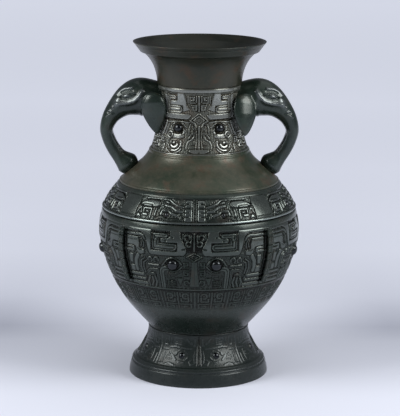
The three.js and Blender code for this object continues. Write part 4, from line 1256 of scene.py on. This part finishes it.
def make_floor():
    """Pale paper with a painted shade in a soft crescent behind the object, that also glows far
    away.
    """
    points = FLOOR_HALF * np.array([(-1.0, -1.0, 0.0), (1, -1, 0), (1, 1, 0), (-1, 1, 0)])
    floor = mesh_object("floor", points, [np.array([[0, 1, 2, 3]])])
    m = Finish("floor_paper")
    place = m.add("ShaderNodeTexCoord", {}).outputs["Object"]
    length = m.add("ShaderNodeVectorMath", {0: place})
    length.operation = "LENGTH"
    split = m.add("ShaderNodeSeparateXYZ", {0: place}).outputs
    behind = m.graph(split["Y"], SHADE_BEHIND)
    aside = m.graph(m.calc("ABSOLUTE", split["X"]), SHADE_ASIDE)
    seen = m.add("ShaderNodeLightPath", {}).outputs
    shown = m.calc("MAXIMUM", seen["Is Camera Ray"], seen["Is Glossy Ray"])
    shown = m.calc("MAXIMUM", shown, seen["Is Transmission Ray"])
    glow = m.graph(length.outputs["Value"], GLOW)
    m.fill(m.shader, {
        "Base Color": m.mix(m.calc("MULTIPLY", behind, aside), FLOOR_PALE, FLOOR_SHADE),
        "Roughness": 0.9,
        "Specular IOR Level": 0.1,
        "Emission Color": FLOOR_PALE,
        "Emission Strength": m.calc("MULTIPLY", glow, shown),
    })
    floor.data.materials.append(m.material)


def softbox(name, place, size, power):
    """A square lamp, in metres and watts, that points at the middle of the object."""
    lamp = bpy.data.lights.new(name, "AREA")
    lamp.shape = "SQUARE"
    lamp.size = size
    lamp.energy = power
    made = new_object(name, lamp)
    aim = Vector((0, 0, 0.2)) - Vector(place)
    made.location = place
    made.rotation_euler = aim.to_track_quat("-Z", "Y").to_euler()


def make_light():
    softbox("light_left", (-1.29, -0.56, 1.0), 0.85, 21)
    softbox("light_right", (1.27, -0.60, 1.0), 0.85, 22)
    softbox("light_top", (0.35, 0.1, 1.65), 1.6, 5)
    world = bpy.data.worlds.new("studio")
    world.use_nodes = True
    background = world.node_tree.nodes["Background"]
    background.inputs["Color"].default_value = (0.66, 0.69, 0.79, 1)
    background.inputs["Strength"].default_value = 0.25
    bpy.context.scene.world = world


def make_camera():
    """The photograph's view: about 11.5 degrees down from the front, with a long lens."""
    focal_pixels, frame_pixels, sensor = 1952.5, 416, 36.0
    pitch, roll = 11.51, 0.29
    place = (0.0012, -2.2882, 0.6655)
    camera = bpy.data.cameras.new("camera")
    camera.sensor_width = sensor
    camera.lens = focal_pixels / frame_pixels * sensor
    camera.clip_end = 50
    made = new_object("camera", camera)
    turn = rotation(90 - pitch, "X") @ rotation(roll, "Z")
    made.matrix_world = Matrix.Translation(place) @ turn
    bpy.context.scene.camera = made


make_floor()
make_light()
make_camera()

scene = bpy.context.scene
scene.view_settings.view_transform = "Standard"
